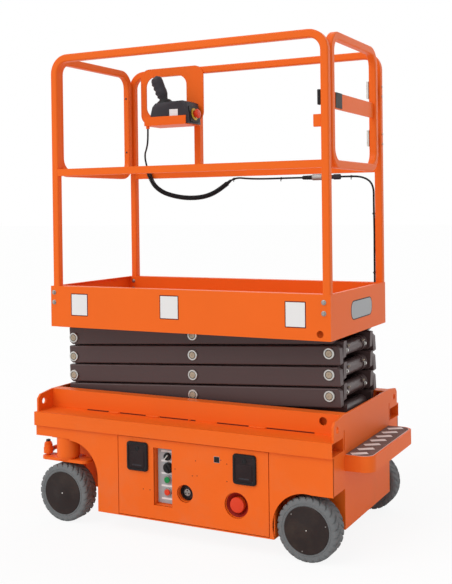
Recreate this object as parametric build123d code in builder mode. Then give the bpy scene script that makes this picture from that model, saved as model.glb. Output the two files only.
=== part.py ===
from build123d import *
import os
from math import atan2, cos, degrees, hypot, pi, radians, sin, tan

os.makedirs("parts", exist_ok=True)

# Small self-propelled slab lift, stowed with its guard rails up.
# Frame: x towards the entry step, z up from the ground, controls on the -y side.
# All lengths are millimetres.

# Overall sizes
STEP_X = 691          # outer edge of the entry step
FRONT_X = -691        # front ends of the side ledges
WALL_X = 589          # outer face of the rear end wall
FRONT_WHEEL_X = -564
REAR_WHEEL_X = 486
WHEEL_R = 115
TYRE_IN_Y = 290
TYRE_OUT_Y = 368
AXLE_Z = WHEEL_R

LEDGE_Y = 381
LEDGE_Z0, LEDGE_Z1 = 378, 432
LEDGE_WALL = 4
WEB_IN_Y, WEB_OUT_Y = 262, 268
TRACK_IN_Y = 222
TRACK_Z0, TRACK_Z1 = 453, 508
TRACK_T = 6

PANEL_IN_Y, PANEL_OUT_Y = 366, 372
MODULE_X0, MODULE_X1 = -390, 364
MODULE_Z0 = 66
SHEET = 4
DOOR_X0, DOOR_X1 = -292, 344
DOOR_Z0, DOOR_Z1 = 73, 374
DOOR_GAP = 3

# Scissor stack
PIN_X_RIGHT = 513
PIN_X_LEFT = -621
PIN_Z0 = 480
STAGE_RISE = 77.5
STAGES = 4
ARM_H = 72
OUT_Y0, OUT_Y1 = 170, 200
IN_Y0, IN_Y1 = 134, 164
PIN_OFFSET = 8        # pins sit this far off the arms' centrelines
END_LEFT, END_RIGHT = 21, 41   # arm past its pins
BEVEL = 12
ARM_EDGE_R = 6
PIN_R = 15
BORE_R = PIN_R + 0.05
END_TUBE_R = 27
CROSS_TUBE_R = 25
CROSS_TUBES = ((90, 950), (90, 1000), (1000,), (90, 1000))   # along each inner arm, from its lower pin
ROLLER_R = 20.6
HEAD_R, HEAD_T = 20, 5
SHAFT_REACH = 256
LIFT_STAGE = 2        # the rod's lugs are on this stage's outer arms, below their upper pin
LIFT_LUG = 110
# the lugs' outline, along the arm from its upper pin and across it
LIFT_LUG_OUTLINE = ((0, -22), (0, 22), (LIFT_LUG, 26), (LIFT_LUG + 24, 10), (LIFT_LUG + 24, -10),
                    (LIFT_LUG, -26))
LUG_IN_Y = 36

PIN_X_MID = (PIN_X_RIGHT + PIN_X_LEFT) / 2
ARM_LEN = hypot(PIN_X_RIGHT - PIN_X_LEFT, STAGE_RISE)
STOW = degrees(atan2(STAGE_RISE, PIN_X_RIGHT - PIN_X_LEFT))
TILT = degrees(atan2(2 * PIN_OFFSET, PIN_X_RIGHT - PIN_X_LEFT))

# Platform
DECK_X0, DECK_X1 = -655, 562
DECK_Y = 306.5
DECK_Z0, DECK_Z1 = 771, 936
TOE_W, TOE_SHEET, TOE_LIP = 36, 3, 14
FLOOR_Z0, FLOOR_Z1 = 831, 836
RAIL = 30             # square rail tube
RAIL_TOP = 1873.5
MID_TOP = 1412
POST_CENTRE_Y = DECK_Y - RAIL / 2
BEND_R = 62           # centreline radius of the rail bends
RAIL_EDGE_R = 6


def block(x0, x1, y0, y1, z0, z1, mode=Mode.ADD):
    """A box between two corners."""
    with Locations(((x0 + x1) / 2, (y0 + y1) / 2, (z0 + z1) / 2)):
        Box(abs(x1 - x0), abs(y1 - y0), abs(z1 - z0), mode=mode)


def rod_y(x, z, r, y0, y1, mode=Mode.ADD):
    """A cylinder along y."""
    with Locations(Location((x, (y0 + y1) / 2, z), (90, 0, 0))):
        Cylinder(r, abs(y1 - y0), mode=mode)


def rod_z(x, y, r, z0, z1, mode=Mode.ADD):
    """A cylinder along z."""
    with Locations((x, y, (z0 + z1) / 2)):
        Cylinder(r, z1 - z0, mode=mode)


def plate_xz(points, y0, y1, mode=Mode.ADD):
    """A flat plate with its outline in x and z, between two y values."""
    low, high = min(y0, y1), max(y0, y1)
    with BuildSketch(Plane.XZ.offset(-high)) as outline:
        with BuildLine():
            Polyline(*points, close=True)
        make_face()
    extrude(outline.sketch, amount=high - low, mode=mode)


def plate_yz(points, x0, x1, mode=Mode.ADD):
    """A flat plate with its outline in y and z, between two x values."""
    with BuildSketch(Plane.YZ.offset(x0)) as outline:
        with BuildLine():
            Polyline(*points, close=True)
        make_face()
    extrude(outline.sketch, amount=x1 - x0, mode=mode)


def save(part, label):
    part.label = label
    export_step(part, f"parts/{label}.step")


# Chassis frame
ARCH_R = 129
FRONT_ARCH_X, FRONT_ARCH_Z, FRONT_ARCH_R = -525, 195, 135
FRONT_STRIP_X0, FRONT_STRIP_Z0 = -688, 337
SPINE_REAR_Y, SPINE_FRONT_Y = 255, 190
SPINE_Z0 = 98
SPINE_FRONT_X = -606
KINGPIN_Y = 325
KINGPIN_R = 20
HOUSING_R, HOUSING_Z0, HOUSING_Z1 = 46, 258, 336
LUG_Y, LUG_Z, LUG_HOLE_R, LUG_T = 325, 467, 12.5, 8
LUG_EDGE_Y, LUG_BEVEL = 362, 16
TAB_SLITS = ((-510, -405), (-352, -231), (-168, -40), (-30, -8), (84, 218), (290, 480))

with BuildPart() as chassis_frame:
    for side in (-1, 1):
        # hollow open-ended ledge
        block(FRONT_X, WALL_X, side * (WEB_OUT_Y - 0.001), side * LEDGE_Y, LEDGE_Z0, LEDGE_Z1)
        block(FRONT_X - 1, WALL_X + 1, side * WEB_OUT_Y, side * (LEDGE_Y - LEDGE_WALL),
              LEDGE_Z0 + LEDGE_WALL, LEDGE_Z1 - LEDGE_WALL, mode=Mode.SUBTRACT)
        # beam web with the roller track on its inner side
        block(FRONT_X, WALL_X, side * WEB_IN_Y, side * WEB_OUT_Y, LEDGE_Z0, TRACK_Z1)
        for z0, z1 in ((TRACK_Z0, TRACK_Z0 + TRACK_T), (TRACK_Z1 - TRACK_T, TRACK_Z1)):
            block(FRONT_X, WALL_X, side * TRACK_IN_Y, side * WEB_IN_Y, z0, z1)
        # fixed pivot lug of the lowest inner arms
        block(PIN_X_RIGHT - 32, PIN_X_RIGHT + 32, side * TRACK_IN_Y, side * (TRACK_IN_Y + 18),
              TRACK_Z0, TRACK_Z1)
        rod_y(PIN_X_RIGHT, PIN_Z0, PIN_R, side * (WEB_IN_Y - 1), side * (WEB_OUT_Y + 1), mode=Mode.SUBTRACT)
        # side box between the wheels
        block(MODULE_X0, DOOR_X0 - DOOR_GAP, side * PANEL_IN_Y, side * PANEL_OUT_Y, MODULE_Z0, LEDGE_Z0)
        block(DOOR_X1 + DOOR_GAP, MODULE_X1, side * PANEL_IN_Y, side * PANEL_OUT_Y, MODULE_Z0, LEDGE_Z0)
        block(MODULE_X0, MODULE_X1, side * SPINE_FRONT_Y, side * PANEL_OUT_Y, MODULE_Z0, MODULE_Z0 + SHEET)
        for x0 in (MODULE_X0, MODULE_X1 - SHEET):
            block(x0, x0 + SHEET, side * SPINE_FRONT_Y, side * PANEL_IN_Y, MODULE_Z0, LEDGE_Z0)
        # panel over the rear wheel and gusset behind the front one
        block(MODULE_X1, WALL_X, side * PANEL_IN_Y, side * PANEL_OUT_Y, AXLE_Z, LEDGE_Z0)
        rod_y(REAR_WHEEL_X, AXLE_Z, ARCH_R, side * (PANEL_IN_Y - 1), side * (PANEL_OUT_Y + 1),
              mode=Mode.SUBTRACT)
        block(REAR_WHEEL_X, WALL_X + 1, side * (PANEL_IN_Y - 1), side * (PANEL_OUT_Y + 1),
              AXLE_Z - 1, AXLE_Z + ARCH_R - 2, mode=Mode.SUBTRACT)
        block(FRONT_ARCH_X, MODULE_X0, side * PANEL_IN_Y, side * PANEL_OUT_Y, FRONT_ARCH_Z, LEDGE_Z0)
        rod_y(FRONT_ARCH_X, FRONT_ARCH_Z, FRONT_ARCH_R, side * (PANEL_IN_Y - 1), side * (PANEL_OUT_Y + 1),
              mode=Mode.SUBTRACT)
        block(FRONT_STRIP_X0, FRONT_ARCH_X, side * PANEL_IN_Y, side * PANEL_OUT_Y, FRONT_STRIP_Z0, LEDGE_Z0)
        # kingpin housing hung from the ledge
        block(FRONT_WHEEL_X - HOUSING_R, FRONT_WHEEL_X + HOUSING_R,
              side * SPINE_FRONT_Y, side * (KINGPIN_Y + HOUSING_R), HOUSING_Z1 - 1, LEDGE_Z0)
        rod_z(FRONT_WHEEL_X, side * KINGPIN_Y, HOUSING_R, HOUSING_Z0, HOUSING_Z1)
        rod_z(FRONT_WHEEL_X, side * KINGPIN_Y, KINGPIN_R + 0.05, HOUSING_Z0 - 1, HOUSING_Z1, mode=Mode.SUBTRACT)
        # spine side plates
        block(SPINE_FRONT_X, MODULE_X0, side * (SPINE_FRONT_Y - 6), side * SPINE_FRONT_Y,
              SPINE_Z0, LEDGE_Z0 + SHEET)
        block(MODULE_X1 - SHEET, WALL_X, side * (SPINE_REAR_Y - 6), side * SPINE_REAR_Y, SPINE_Z0, TRACK_Z0)
        # end lugs standing on the ledge
        for x0 in (FRONT_X, WALL_X - LUG_T):
            plate_yz(((side * WEB_OUT_Y, LEDGE_Z1), (side * LUG_EDGE_Y, LEDGE_Z1),
                      (side * LUG_EDGE_Y, LUG_Z + 15),
                      (side * (LUG_EDGE_Y - LUG_BEVEL), LUG_Z + 15 + LUG_BEVEL), (side * WEB_OUT_Y, TRACK_Z1)),
                     x0, x0 + LUG_T)
            with Locations(Location((x0 + LUG_T / 2, side * LUG_Y, LUG_Z), (0, 90, 0))):
                Cylinder(LUG_HOLE_R, 20, mode=Mode.SUBTRACT)
        # dark slits beside the weld tabs
        for x0, x1 in TAB_SLITS:
            block(x0, x1, side * (WEB_OUT_Y - 3), side * (WEB_OUT_Y + 0.5), LEDGE_Z1 + 0.5, LEDGE_Z1 + 5,
                  mode=Mode.SUBTRACT)
    # cross members
    block(SPINE_FRONT_X, MODULE_X0 + SHEET, -SPINE_FRONT_Y, SPINE_FRONT_Y, SPINE_Z0, SPINE_Z0 + SHEET)
    block(MODULE_X1 - SHEET, WALL_X, -SPINE_REAR_Y, SPINE_REAR_Y, SPINE_Z0, SPINE_Z0 + SHEET)
    block(MODULE_X0, MODULE_X1, -SPINE_FRONT_Y, SPINE_FRONT_Y, MODULE_Z0, MODULE_Z0 + SHEET)
    for x0 in (MODULE_X0, MODULE_X1 - SHEET):
        block(x0, x0 + SHEET, -SPINE_FRONT_Y, SPINE_FRONT_Y, MODULE_Z0, LEDGE_Z0)
    block(SPINE_FRONT_X, SPINE_FRONT_X + 6, -SPINE_FRONT_Y, SPINE_FRONT_Y, SPINE_Z0, LEDGE_Z0 + SHEET)
    # flat plates under the stack tie the two ledges together
    block(FRONT_X, MODULE_X0 + SHEET, -WEB_OUT_Y, WEB_OUT_Y, LEDGE_Z0 + 0.001, LEDGE_Z0 + SHEET)
    block(MODULE_X1 - SHEET, WALL_X, -WEB_OUT_Y, WEB_OUT_Y, LEDGE_Z0 + 0.001, LEDGE_Z0 + SHEET)
    # end walls
    block(WALL_X - 6, WALL_X, -SPINE_REAR_Y, SPINE_REAR_Y, SPINE_Z0, TRACK_Z0)
    block(WALL_X - 6, WALL_X, -WEB_OUT_Y, WEB_OUT_Y, TRACK_Z0, TRACK_Z1)
    block(FRONT_X, FRONT_X + 6, -WEB_OUT_Y, WEB_OUT_Y, LEDGE_Z0, TRACK_Z1)
    # lowest fixed pivot shaft
    rod_y(PIN_X_RIGHT, PIN_Z0, PIN_R, -TRACK_IN_Y - 18, TRACK_IN_Y + 18)
    rod_y(PIN_X_RIGHT, PIN_Z0, END_TUBE_R, -IN_Y0 + 3, IN_Y0 - 3)
save(chassis_frame.part, "chassis_frame")

# Entry step
STEP_Y = 255
STEP_CORNER_R = 45
STEP_Z0, STEP_Z1 = 308, 364
with BuildPart() as entry_step:
    block(WALL_X, STEP_X, -STEP_Y, STEP_Y, STEP_Z0, STEP_Z1)
    fillet(entry_step.edges().filter_by(Axis.Z).group_by(Axis.X)[-1], STEP_CORNER_R)
    with BuildSketch(Plane.XY.offset(STEP_Z0 - 1)) as hollow:
        with Locations(((WALL_X + STEP_X - SHEET) / 2, 0)):
            Rectangle(STEP_X - SHEET - WALL_X, 2 * (STEP_Y - SHEET))
        fillet(hollow.vertices().group_by(Axis.X)[-1], STEP_CORNER_R - SHEET)
    extrude(amount=STEP_Z1 - STEP_Z0 + 1 - SHEET, mode=Mode.SUBTRACT)
save(entry_step.part, "entry_step")

# Heavy masses
with BuildPart() as battery_pack:
    block(-250, 270, 10, 352, 74, 300)
save(battery_pack.part, "battery_pack")
with BuildPart() as hydraulic_unit:
    block(-230, 60, -330, -40, 74, 310)
    block(80, 300, -330, -60, 74, 290)
save(hydraulic_unit.part, "hydraulic_unit")

# Lower controls
CONTROL_X0, CONTROL_X1, CONTROL_Z0, CONTROL_Z1 = -135, -54, 124, 343
ESTOP_X, ESTOP_Z, ESTOP_R = 215, 168, 48
SOCKET_X, SOCKET_Z, SOCKET_R = 1, 184, 34
TUB_BACK_Y, TUB_WALL = 344, 3
TIE_BAR_Z0 = 160
with BuildPart() as lower_controls:
    block(CONTROL_X0, CONTROL_X1, -PANEL_IN_Y + 2, -TUB_BACK_Y + 6, CONTROL_Z0, CONTROL_Z1)
    block(CONTROL_X0 + TUB_WALL, CONTROL_X1 - TUB_WALL, -PANEL_IN_Y + 1, -TUB_BACK_Y,
          CONTROL_Z0 + TUB_WALL, CONTROL_Z1 - TUB_WALL, mode=Mode.SUBTRACT)
    for x, z, r in ((SOCKET_X, SOCKET_Z, SOCKET_R), (ESTOP_X, ESTOP_Z, ESTOP_R)):
        rod_y(x, z, r, -PANEL_IN_Y + 2, -TUB_BACK_Y + 6)
        rod_y(x, z, r - TUB_WALL, -PANEL_IN_Y + 1, -TUB_BACK_Y, mode=Mode.SUBTRACT)
    # bar that ties the three tubs together behind
    block(CONTROL_X0, ESTOP_X + 20, -TUB_BACK_Y + 5, -TUB_BACK_Y + 13, TIE_BAR_Z0, TIE_BAR_Z0 + 20)
    for x, z, r, y in ((-86, 308, 13, 356), (-82, 266, 12, 360), (-87, 220, 11, 354),
                       (-88, 173, 11, 354), (ESTOP_X, ESTOP_Z, 26, 368)):
        rod_y(x, z, r, -y, -TUB_BACK_Y + 1)
save(lower_controls.part, "lower_controls")

# Doors
for label, side in (("door_near", -1), ("door_far", 1)):
    with BuildPart() as door:
        block(DOOR_X0, DOOR_X1, side * PANEL_IN_Y, side * PANEL_OUT_Y, DOOR_Z0, DOOR_Z1)
        if side < 0:
            block(CONTROL_X0, CONTROL_X1, -PANEL_IN_Y + 1, -PANEL_OUT_Y - 1, CONTROL_Z0, CONTROL_Z1,
                  mode=Mode.SUBTRACT)
            for x, z, r in ((SOCKET_X, SOCKET_Z, SOCKET_R), (ESTOP_X, ESTOP_Z, ESTOP_R)):
                rod_y(x, z, r, -PANEL_IN_Y + 1, -PANEL_OUT_Y - 1, mode=Mode.SUBTRACT)
            block(131, 143, -PANEL_IN_Y + 1, -PANEL_OUT_Y - 1, 322, 334, mode=Mode.SUBTRACT)
    save(door.part, label)

LATCH_W, LATCH_Z0, LATCH_Z1, LATCH_T = 93, 248, 358, 5
for label, side in (("latches_near", -1), ("latches_far", 1)):
    with BuildPart() as latches:
        for x in (-204, 251):
            block(x - LATCH_W / 2, x + LATCH_W / 2, side * PANEL_OUT_Y, side * (PANEL_OUT_Y + LATCH_T),
                  LATCH_Z0, LATCH_Z1)
        fillet(latches.edges().filter_by(Axis.Y), 12)
    save(latches.part, label)

# Wheels
TYRE_BORE_R = 84
SHOULDER_R = 13
HUB_RING_W = 12
STUB_R = 18
STUB_END_Y = 345
for label, x, side in (("front_near", FRONT_WHEEL_X, -1), ("front_far", FRONT_WHEEL_X, 1),
                       ("rear_near", REAR_WHEEL_X, -1), ("rear_far", REAR_WHEEL_X, 1)):
    with BuildPart() as tyre:
        rod_y(x, AXLE_Z, WHEEL_R, side * TYRE_IN_Y, side * TYRE_OUT_Y)
        fillet(tyre.edges().filter_by(GeomType.CIRCLE), SHOULDER_R)
        rod_y(x, AXLE_Z, TYRE_BORE_R, side * (TYRE_IN_Y - 1), side * (TYRE_OUT_Y + 1), mode=Mode.SUBTRACT)
    save(tyre.part, f"tyre_{label}")
    with BuildPart() as hub:
        rod_y(x, AXLE_Z, TYRE_BORE_R - 0.1, side * (TYRE_IN_Y + 6), side * TYRE_OUT_Y)
        rod_y(x, AXLE_Z, TYRE_BORE_R - HUB_RING_W, side * (TYRE_IN_Y + 5), side * 330, mode=Mode.SUBTRACT)
        rod_y(x, AXLE_Z, STUB_R + 12, side * (TYRE_IN_Y + 10), side * 331)
        rod_y(x, AXLE_Z, STUB_R + 0.05, side * (TYRE_IN_Y + 5), side * (STUB_END_Y + 1), mode=Mode.SUBTRACT)
    save(hub.part, f"hub_{label}")

MOTOR_Z, MOTOR_R = 146, 42
with BuildPart() as rear_stub_axles:
    for side in (-1, 1):
        rod_y(REAR_WHEEL_X, MOTOR_Z, MOTOR_R, side * 90, side * (SPINE_REAR_Y - 6))
        rod_y(REAR_WHEEL_X, AXLE_Z, 60, side * SPINE_REAR_Y, side * 276)
        rod_y(REAR_WHEEL_X, AXLE_Z, STUB_R, side * 275, side * STUB_END_Y)
save(rear_stub_axles.part, "rear_stub_axles")

# Steering
ARM_X = -665          # tie rod ball joints
PLATE_Z0, PLATE_Z1 = 238, 250
TIE_ROD_Z = 268
for label, side in (("knuckle_near", -1), ("knuckle_far", 1)):
    with BuildPart() as knuckle:
        block(-680, -457, side * 292, side * 358, PLATE_Z0, PLATE_Z1)
        fillet(knuckle.edges().filter_by(Axis.Z), 25)
        block(FRONT_WHEEL_X - 42, FRONT_WHEEL_X + 42, side * 266, side * 320, PLATE_Z0, PLATE_Z1)
        block(FRONT_WHEEL_X - 42, FRONT_WHEEL_X + 42, side * 266, side * 280, 72, PLATE_Z1)
        rod_z(FRONT_WHEEL_X, side * KINGPIN_Y, 42, PLATE_Z1 - 1, 257)
        rod_z(FRONT_WHEEL_X, side * KINGPIN_Y, KINGPIN_R, PLATE_Z1 - 1, 328)
        rod_y(FRONT_WHEEL_X, AXLE_Z, STUB_R + 10, side * 279, side * 286)
        rod_y(FRONT_WHEEL_X, AXLE_Z, STUB_R, side * 279, side * STUB_END_Y)
        rod_z(ARM_X, side * KINGPIN_Y, 7.9, PLATE_Z1 - 1, TIE_ROD_Z + 10)
    save(knuckle.part, label)

with BuildPart() as tie_rod:
    rod_y(ARM_X, TIE_ROD_Z, 9, -KINGPIN_Y + 12, KINGPIN_Y - 12)
    for side in (-1, 1):
        rod_z(ARM_X, side * KINGPIN_Y, 19, TIE_ROD_Z - 11, TIE_ROD_Z + 11)
        rod_z(ARM_X, side * KINGPIN_Y, 8, TIE_ROD_Z - 12, TIE_ROD_Z + 12, mode=Mode.SUBTRACT)
save(tie_rod.part, "tie_rod")

# Scissor arms
def arm_outline(mirror, past_low, past_high, end_bevel):
    """Side outline, in x and z, of the lowest stage's outer arm, or mirrored for the inner one."""
    angle = radians(STOW - TILT)
    half = ARM_LEN / 2 * cos(radians(TILT))
    low, high, edge = -half - past_low, half + past_high, ARM_H / 2
    outline = ((low, BEVEL - edge), (low + BEVEL, -edge), (high - end_bevel, -edge), (high, end_bevel - edge),
               (high, edge - BEVEL), (high - BEVEL, edge), (low, edge))
    return [(PIN_X_MID + mirror * (u * cos(angle) - v * sin(angle)),
             PIN_Z0 + STAGE_RISE / 2 + u * sin(angle) + v * cos(angle)) for u, v in outline]


for stage in range(STAGES):
    lift_z = stage * STAGE_RISE
    low_z, high_z = PIN_Z0 + lift_z, PIN_Z0 + lift_z + STAGE_RISE
    mid_z = (low_z + high_z) / 2
    with BuildPart() as outer_arms:
        past_high, end_bevel = (30, 20) if stage == STAGES - 1 else (END_RIGHT, 5)
        points = [(x, z + lift_z) for x, z in arm_outline(1, END_LEFT, past_high, end_bevel)]
        for side in (-1, 1):
            plate_xz(points, side * OUT_Y0, side * OUT_Y1)
        fillet(outer_arms.edges().filter_by(lambda e: e.length > ARM_LEN / 2), ARM_EDGE_R)
        for side in (-1, 1):
            for x, z in ((PIN_X_LEFT, low_z), (PIN_X_RIGHT, high_z), (PIN_X_MID, mid_z)):
                rod_y(x, z, HEAD_R + 4, side * (IN_Y1 + 0.4), side * (OUT_Y0 + 0.001))
            # centre pin and the heads on the outside
            rod_y(PIN_X_MID, mid_z, PIN_R, side * (IN_Y0 - 6), side * (OUT_Y1 + HEAD_T))
            rod_y(PIN_X_MID, mid_z, HEAD_R, side * OUT_Y1, side * (OUT_Y1 + HEAD_T))
            if stage > 0:
                rod_y(PIN_X_LEFT, low_z, HEAD_R, side * OUT_Y1, side * (OUT_Y1 + HEAD_T))
            if stage < STAGES - 1:
                rod_y(PIN_X_RIGHT, high_z, HEAD_R, side * OUT_Y1, side * (OUT_Y1 + HEAD_T))
        if stage == LIFT_STAGE - 1:
            # lugs that hold the lift cylinder's rod
            for side in (-1, 1):
                plate_xz([(PIN_X_RIGHT - u * cos(radians(STOW)) + v * sin(radians(STOW)),
                           high_z - u * sin(radians(STOW)) - v * cos(radians(STOW)))
                          for u, v in LIFT_LUG_OUTLINE],
                         side * LUG_IN_Y, side * (LUG_IN_Y + 10))
        left_reach = OUT_Y1 if stage > 0 else SHAFT_REACH
        right_reach = OUT_Y1 if stage < STAGES - 1 else 240
        rod_y(PIN_X_LEFT, low_z, PIN_R, -left_reach, left_reach)
        rod_y(PIN_X_RIGHT, high_z, PIN_R, -right_reach, right_reach)
        rod_y(PIN_X_RIGHT, high_z, END_TUBE_R, -IN_Y0 + 3, IN_Y0 - 3)
    save(outer_arms.part, f"outer_arms_{stage + 1}")

    with BuildPart() as inner_arms:
        points = [(x, z + lift_z) for x, z in arm_outline(-1, END_RIGHT, END_LEFT, 5)]
        for side in (-1, 1):
            plate_xz(points, side * IN_Y0, side * IN_Y1)
        fillet(inner_arms.edges().filter_by(lambda e: e.length > ARM_LEN / 2), ARM_EDGE_R)
        for side in (-1, 1):
            for x, z in ((PIN_X_RIGHT, low_z), (PIN_X_LEFT, high_z), (PIN_X_MID, mid_z)):
                if x == PIN_X_LEFT and stage == STAGES - 1:
                    continue
                rod_y(x, z, BORE_R, side * (IN_Y0 - 1), side * (IN_Y1 + 1), mode=Mode.SUBTRACT)
        for along in CROSS_TUBES[stage]:
            rod_y(PIN_X_RIGHT - along * cos(radians(STOW)), low_z + along * sin(radians(STOW)), CROSS_TUBE_R,
                  -IN_Y0 - 1, IN_Y0 + 1)
        if stage == STAGES - 1:
            rod_y(PIN_X_LEFT, high_z, PIN_R, -SHAFT_REACH, SHAFT_REACH)
    save(inner_arms.part, f"inner_arms_{stage + 1}")

for label, z in (("chassis_rollers", PIN_Z0), ("platform_rollers", PIN_Z0 + STAGES * STAGE_RISE)):
    with BuildPart() as rollers:
        for side in (-1, 1):
            rod_y(PIN_X_LEFT, z, ROLLER_R, side * 227, side * SHAFT_REACH)
            rod_y(PIN_X_LEFT, z, BORE_R, side * 226, side * (SHAFT_REACH + 1), mode=Mode.SUBTRACT)
    save(rollers.part, label)

# Lift cylinder
LIFT_FOOT_X = PIN_X_RIGHT - CROSS_TUBES[0][1] * cos(radians(STOW))
LIFT_FOOT_Z = PIN_Z0 + CROSS_TUBES[0][1] * sin(radians(STOW))
LIFT_EYE_X = PIN_X_RIGHT - LIFT_LUG * cos(radians(STOW))
LIFT_EYE_Z = PIN_Z0 + LIFT_STAGE * STAGE_RISE - LIFT_LUG * sin(radians(STOW))
LIFT_LEN = hypot(LIFT_EYE_X - LIFT_FOOT_X, LIFT_EYE_Z - LIFT_FOOT_Z)
LIFT_ANGLE = degrees(atan2(LIFT_EYE_Z - LIFT_FOOT_Z, LIFT_EYE_X - LIFT_FOOT_X))
BARREL_R, ROD_R = 34, 20
BARREL_START, BARREL_END = 30, LIFT_LEN - 95
EYE_R, ROD_EYE_R, EYE_HALF = 36, 28, 30
lift_plane = Plane(origin=(LIFT_FOOT_X, 0, LIFT_FOOT_Z),
                   x_dir=(0, 1, 0), z_dir=(cos(radians(LIFT_ANGLE)), 0, sin(radians(LIFT_ANGLE))))
with BuildPart() as lift_barrel:
    with BuildSketch(lift_plane.offset(BARREL_START)):
        Circle(BARREL_R)
    extrude(amount=BARREL_END - BARREL_START)
    rod_y(LIFT_FOOT_X, LIFT_FOOT_Z, EYE_R, -EYE_HALF, EYE_HALF)
    rod_y(LIFT_FOOT_X, LIFT_FOOT_Z, CROSS_TUBE_R + 0.1, -BARREL_R - 5, BARREL_R + 5, mode=Mode.SUBTRACT)
    with BuildSketch(lift_plane.offset(LIFT_LEN - 450)):
        Circle(ROD_R + 0.1)
    extrude(amount=400, mode=Mode.SUBTRACT)
save(lift_barrel.part, "lift_barrel")
with BuildPart() as lift_rod:
    with BuildSketch(lift_plane.offset(LIFT_LEN - 440)):
        Circle(ROD_R)
    extrude(amount=420)
    rod_y(LIFT_EYE_X, LIFT_EYE_Z, ROD_EYE_R, -EYE_HALF, EYE_HALF)
save(lift_rod.part, "lift_rod")

# Platform deck
PLATFORM_TRACK_Z0, PLATFORM_TRACK_Z1 = 764, 816
PLATFORM_TRACK_X1 = -100
with BuildPart() as platform_deck:
    for side in (-1, 1):
        # hollow side toe board, open below
        block(DECK_X0, DECK_X1, side * (DECK_Y - TOE_W), side * DECK_Y, DECK_Z0, DECK_Z1)
        block(DECK_X0 + TOE_SHEET, DECK_X1 - TOE_SHEET,
              side * (DECK_Y - TOE_W + TOE_SHEET), side * (DECK_Y - TOE_SHEET),
              DECK_Z0 - 1, DECK_Z1 - TOE_SHEET, mode=Mode.SUBTRACT)
    # single-sheet end toe boards with a folded lip
    for x0, x1, lip0, lip1 in ((DECK_X0, DECK_X0 + TOE_SHEET, DECK_X0, DECK_X0 + TOE_LIP),
                               (DECK_X1 - TOE_SHEET, DECK_X1, DECK_X1 - TOE_LIP, DECK_X1)):
        block(x0, x1, -DECK_Y + TOE_W - 1, DECK_Y - TOE_W + 1, DECK_Z0, DECK_Z1)
        block(lip0, lip1, -DECK_Y + TOE_W - 1, DECK_Y - TOE_W + 1, DECK_Z1 - TOE_SHEET, DECK_Z1)
    block(DECK_X0 + 1, DECK_X1 - 1, -DECK_Y + TOE_W - 1, DECK_Y - TOE_W + 1, FLOOR_Z0, FLOOR_Z1)
    for side in (-1, 1):
        # roller track under the floor
        for y0, y1, z0, z1 in ((214, 257, 811, PLATFORM_TRACK_Z1),
                               (257, 262, PLATFORM_TRACK_Z0, PLATFORM_TRACK_Z1),
                               (214, 257, PLATFORM_TRACK_Z0, PLATFORM_TRACK_Z0 + 4.5)):
            block(DECK_X0 + 1, PLATFORM_TRACK_X1, side * y0, side * y1, z0, z1)
        block(DECK_X0 + 1, PLATFORM_TRACK_X1, side * 240, side * 262, PLATFORM_TRACK_Z1 - 1, FLOOR_Z0 + 1)
        # pivot lug of the top outer arms
        block(PIN_X_RIGHT - 28, PIN_X_RIGHT + 28, side * 208, side * 224, 768, FLOOR_Z0 + 1)
        rod_y(PIN_X_RIGHT, PIN_Z0 + STAGES * STAGE_RISE, BORE_R, side * 207, side * 225, mode=Mode.SUBTRACT)
        # hole near the entry end of the toe board
        rod_y(521, 795, 13, side * (DECK_Y - 4), side * (DECK_Y + 1), mode=Mode.SUBTRACT)
save(platform_deck.part, "platform_deck")

# Guard rails
def tube(points, plane):
    """A square tube with rounded edges along a path of straight runs joined by arcs."""
    with BuildLine(plane) as path:
        FilletPolyline(*points, radius=BEND_R)
    start = path.line @ 0
    with BuildSketch(Plane(origin=start, z_dir=path.line % 0)) as section:
        RectangleRounded(RAIL, RAIL, RAIL_EDGE_R)
    sweep(section.sketch, path=path.line)


def hoop(y0, y1, z0, z1, x):
    """A closed rounded hoop of the square tube, between the outer edges given, around the plane x."""
    with BuildSketch(Plane.YZ.offset(x - RAIL / 2)) as ring:
        with Locations(((y0 + y1) / 2, (z0 + z1) / 2)):
            RectangleRounded(y1 - y0, z1 - z0, BEND_R + RAIL / 2)
            RectangleRounded(y1 - y0 - 2 * RAIL, z1 - z0 - 2 * RAIL, BEND_R - RAIL / 2, mode=Mode.SUBTRACT)
    extrude(ring.sketch, amount=RAIL)


SIDE_X0, SIDE_X1 = -643, 561
MID_Z = MID_TOP - RAIL / 2
TOP_Z = RAIL_TOP - RAIL / 2
for label, side in (("guard_rail_near", -1), ("guard_rail_far", 1)):
    y = side * POST_CENTRE_Y
    x0, x1 = SIDE_X0 + RAIL / 2, SIDE_X1 - RAIL / 2
    with BuildPart() as side_rail:
        tube(((x0, DECK_Z1), (x0, TOP_Z), (x1, TOP_Z), (x1, DECK_Z1)), Plane.XZ.offset(-y))
        block(x0, x1, y - RAIL / 2 + 1, y + RAIL / 2 - 1, MID_Z - RAIL / 2 + 1, MID_Z + RAIL / 2 - 1)
        if side > 0:
            block(-302, -272, y - RAIL / 2 + 1, y + RAIL / 2 - 1, MID_Z, TOP_Z)
    save(side_rail.part, label)

END_HOOP_Y = 274
with BuildPart() as guard_rail_end:
    hoop(-END_HOOP_Y, END_HOOP_Y, MID_TOP - RAIL, RAIL_TOP, DECK_X0 + RAIL / 2 + 1)
    fillet(guard_rail_end.edges().filter_by(lambda e: e.bounding_box().size.X < 1), RAIL_EDGE_R)
save(guard_rail_end.part, "guard_rail_end")

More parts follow.
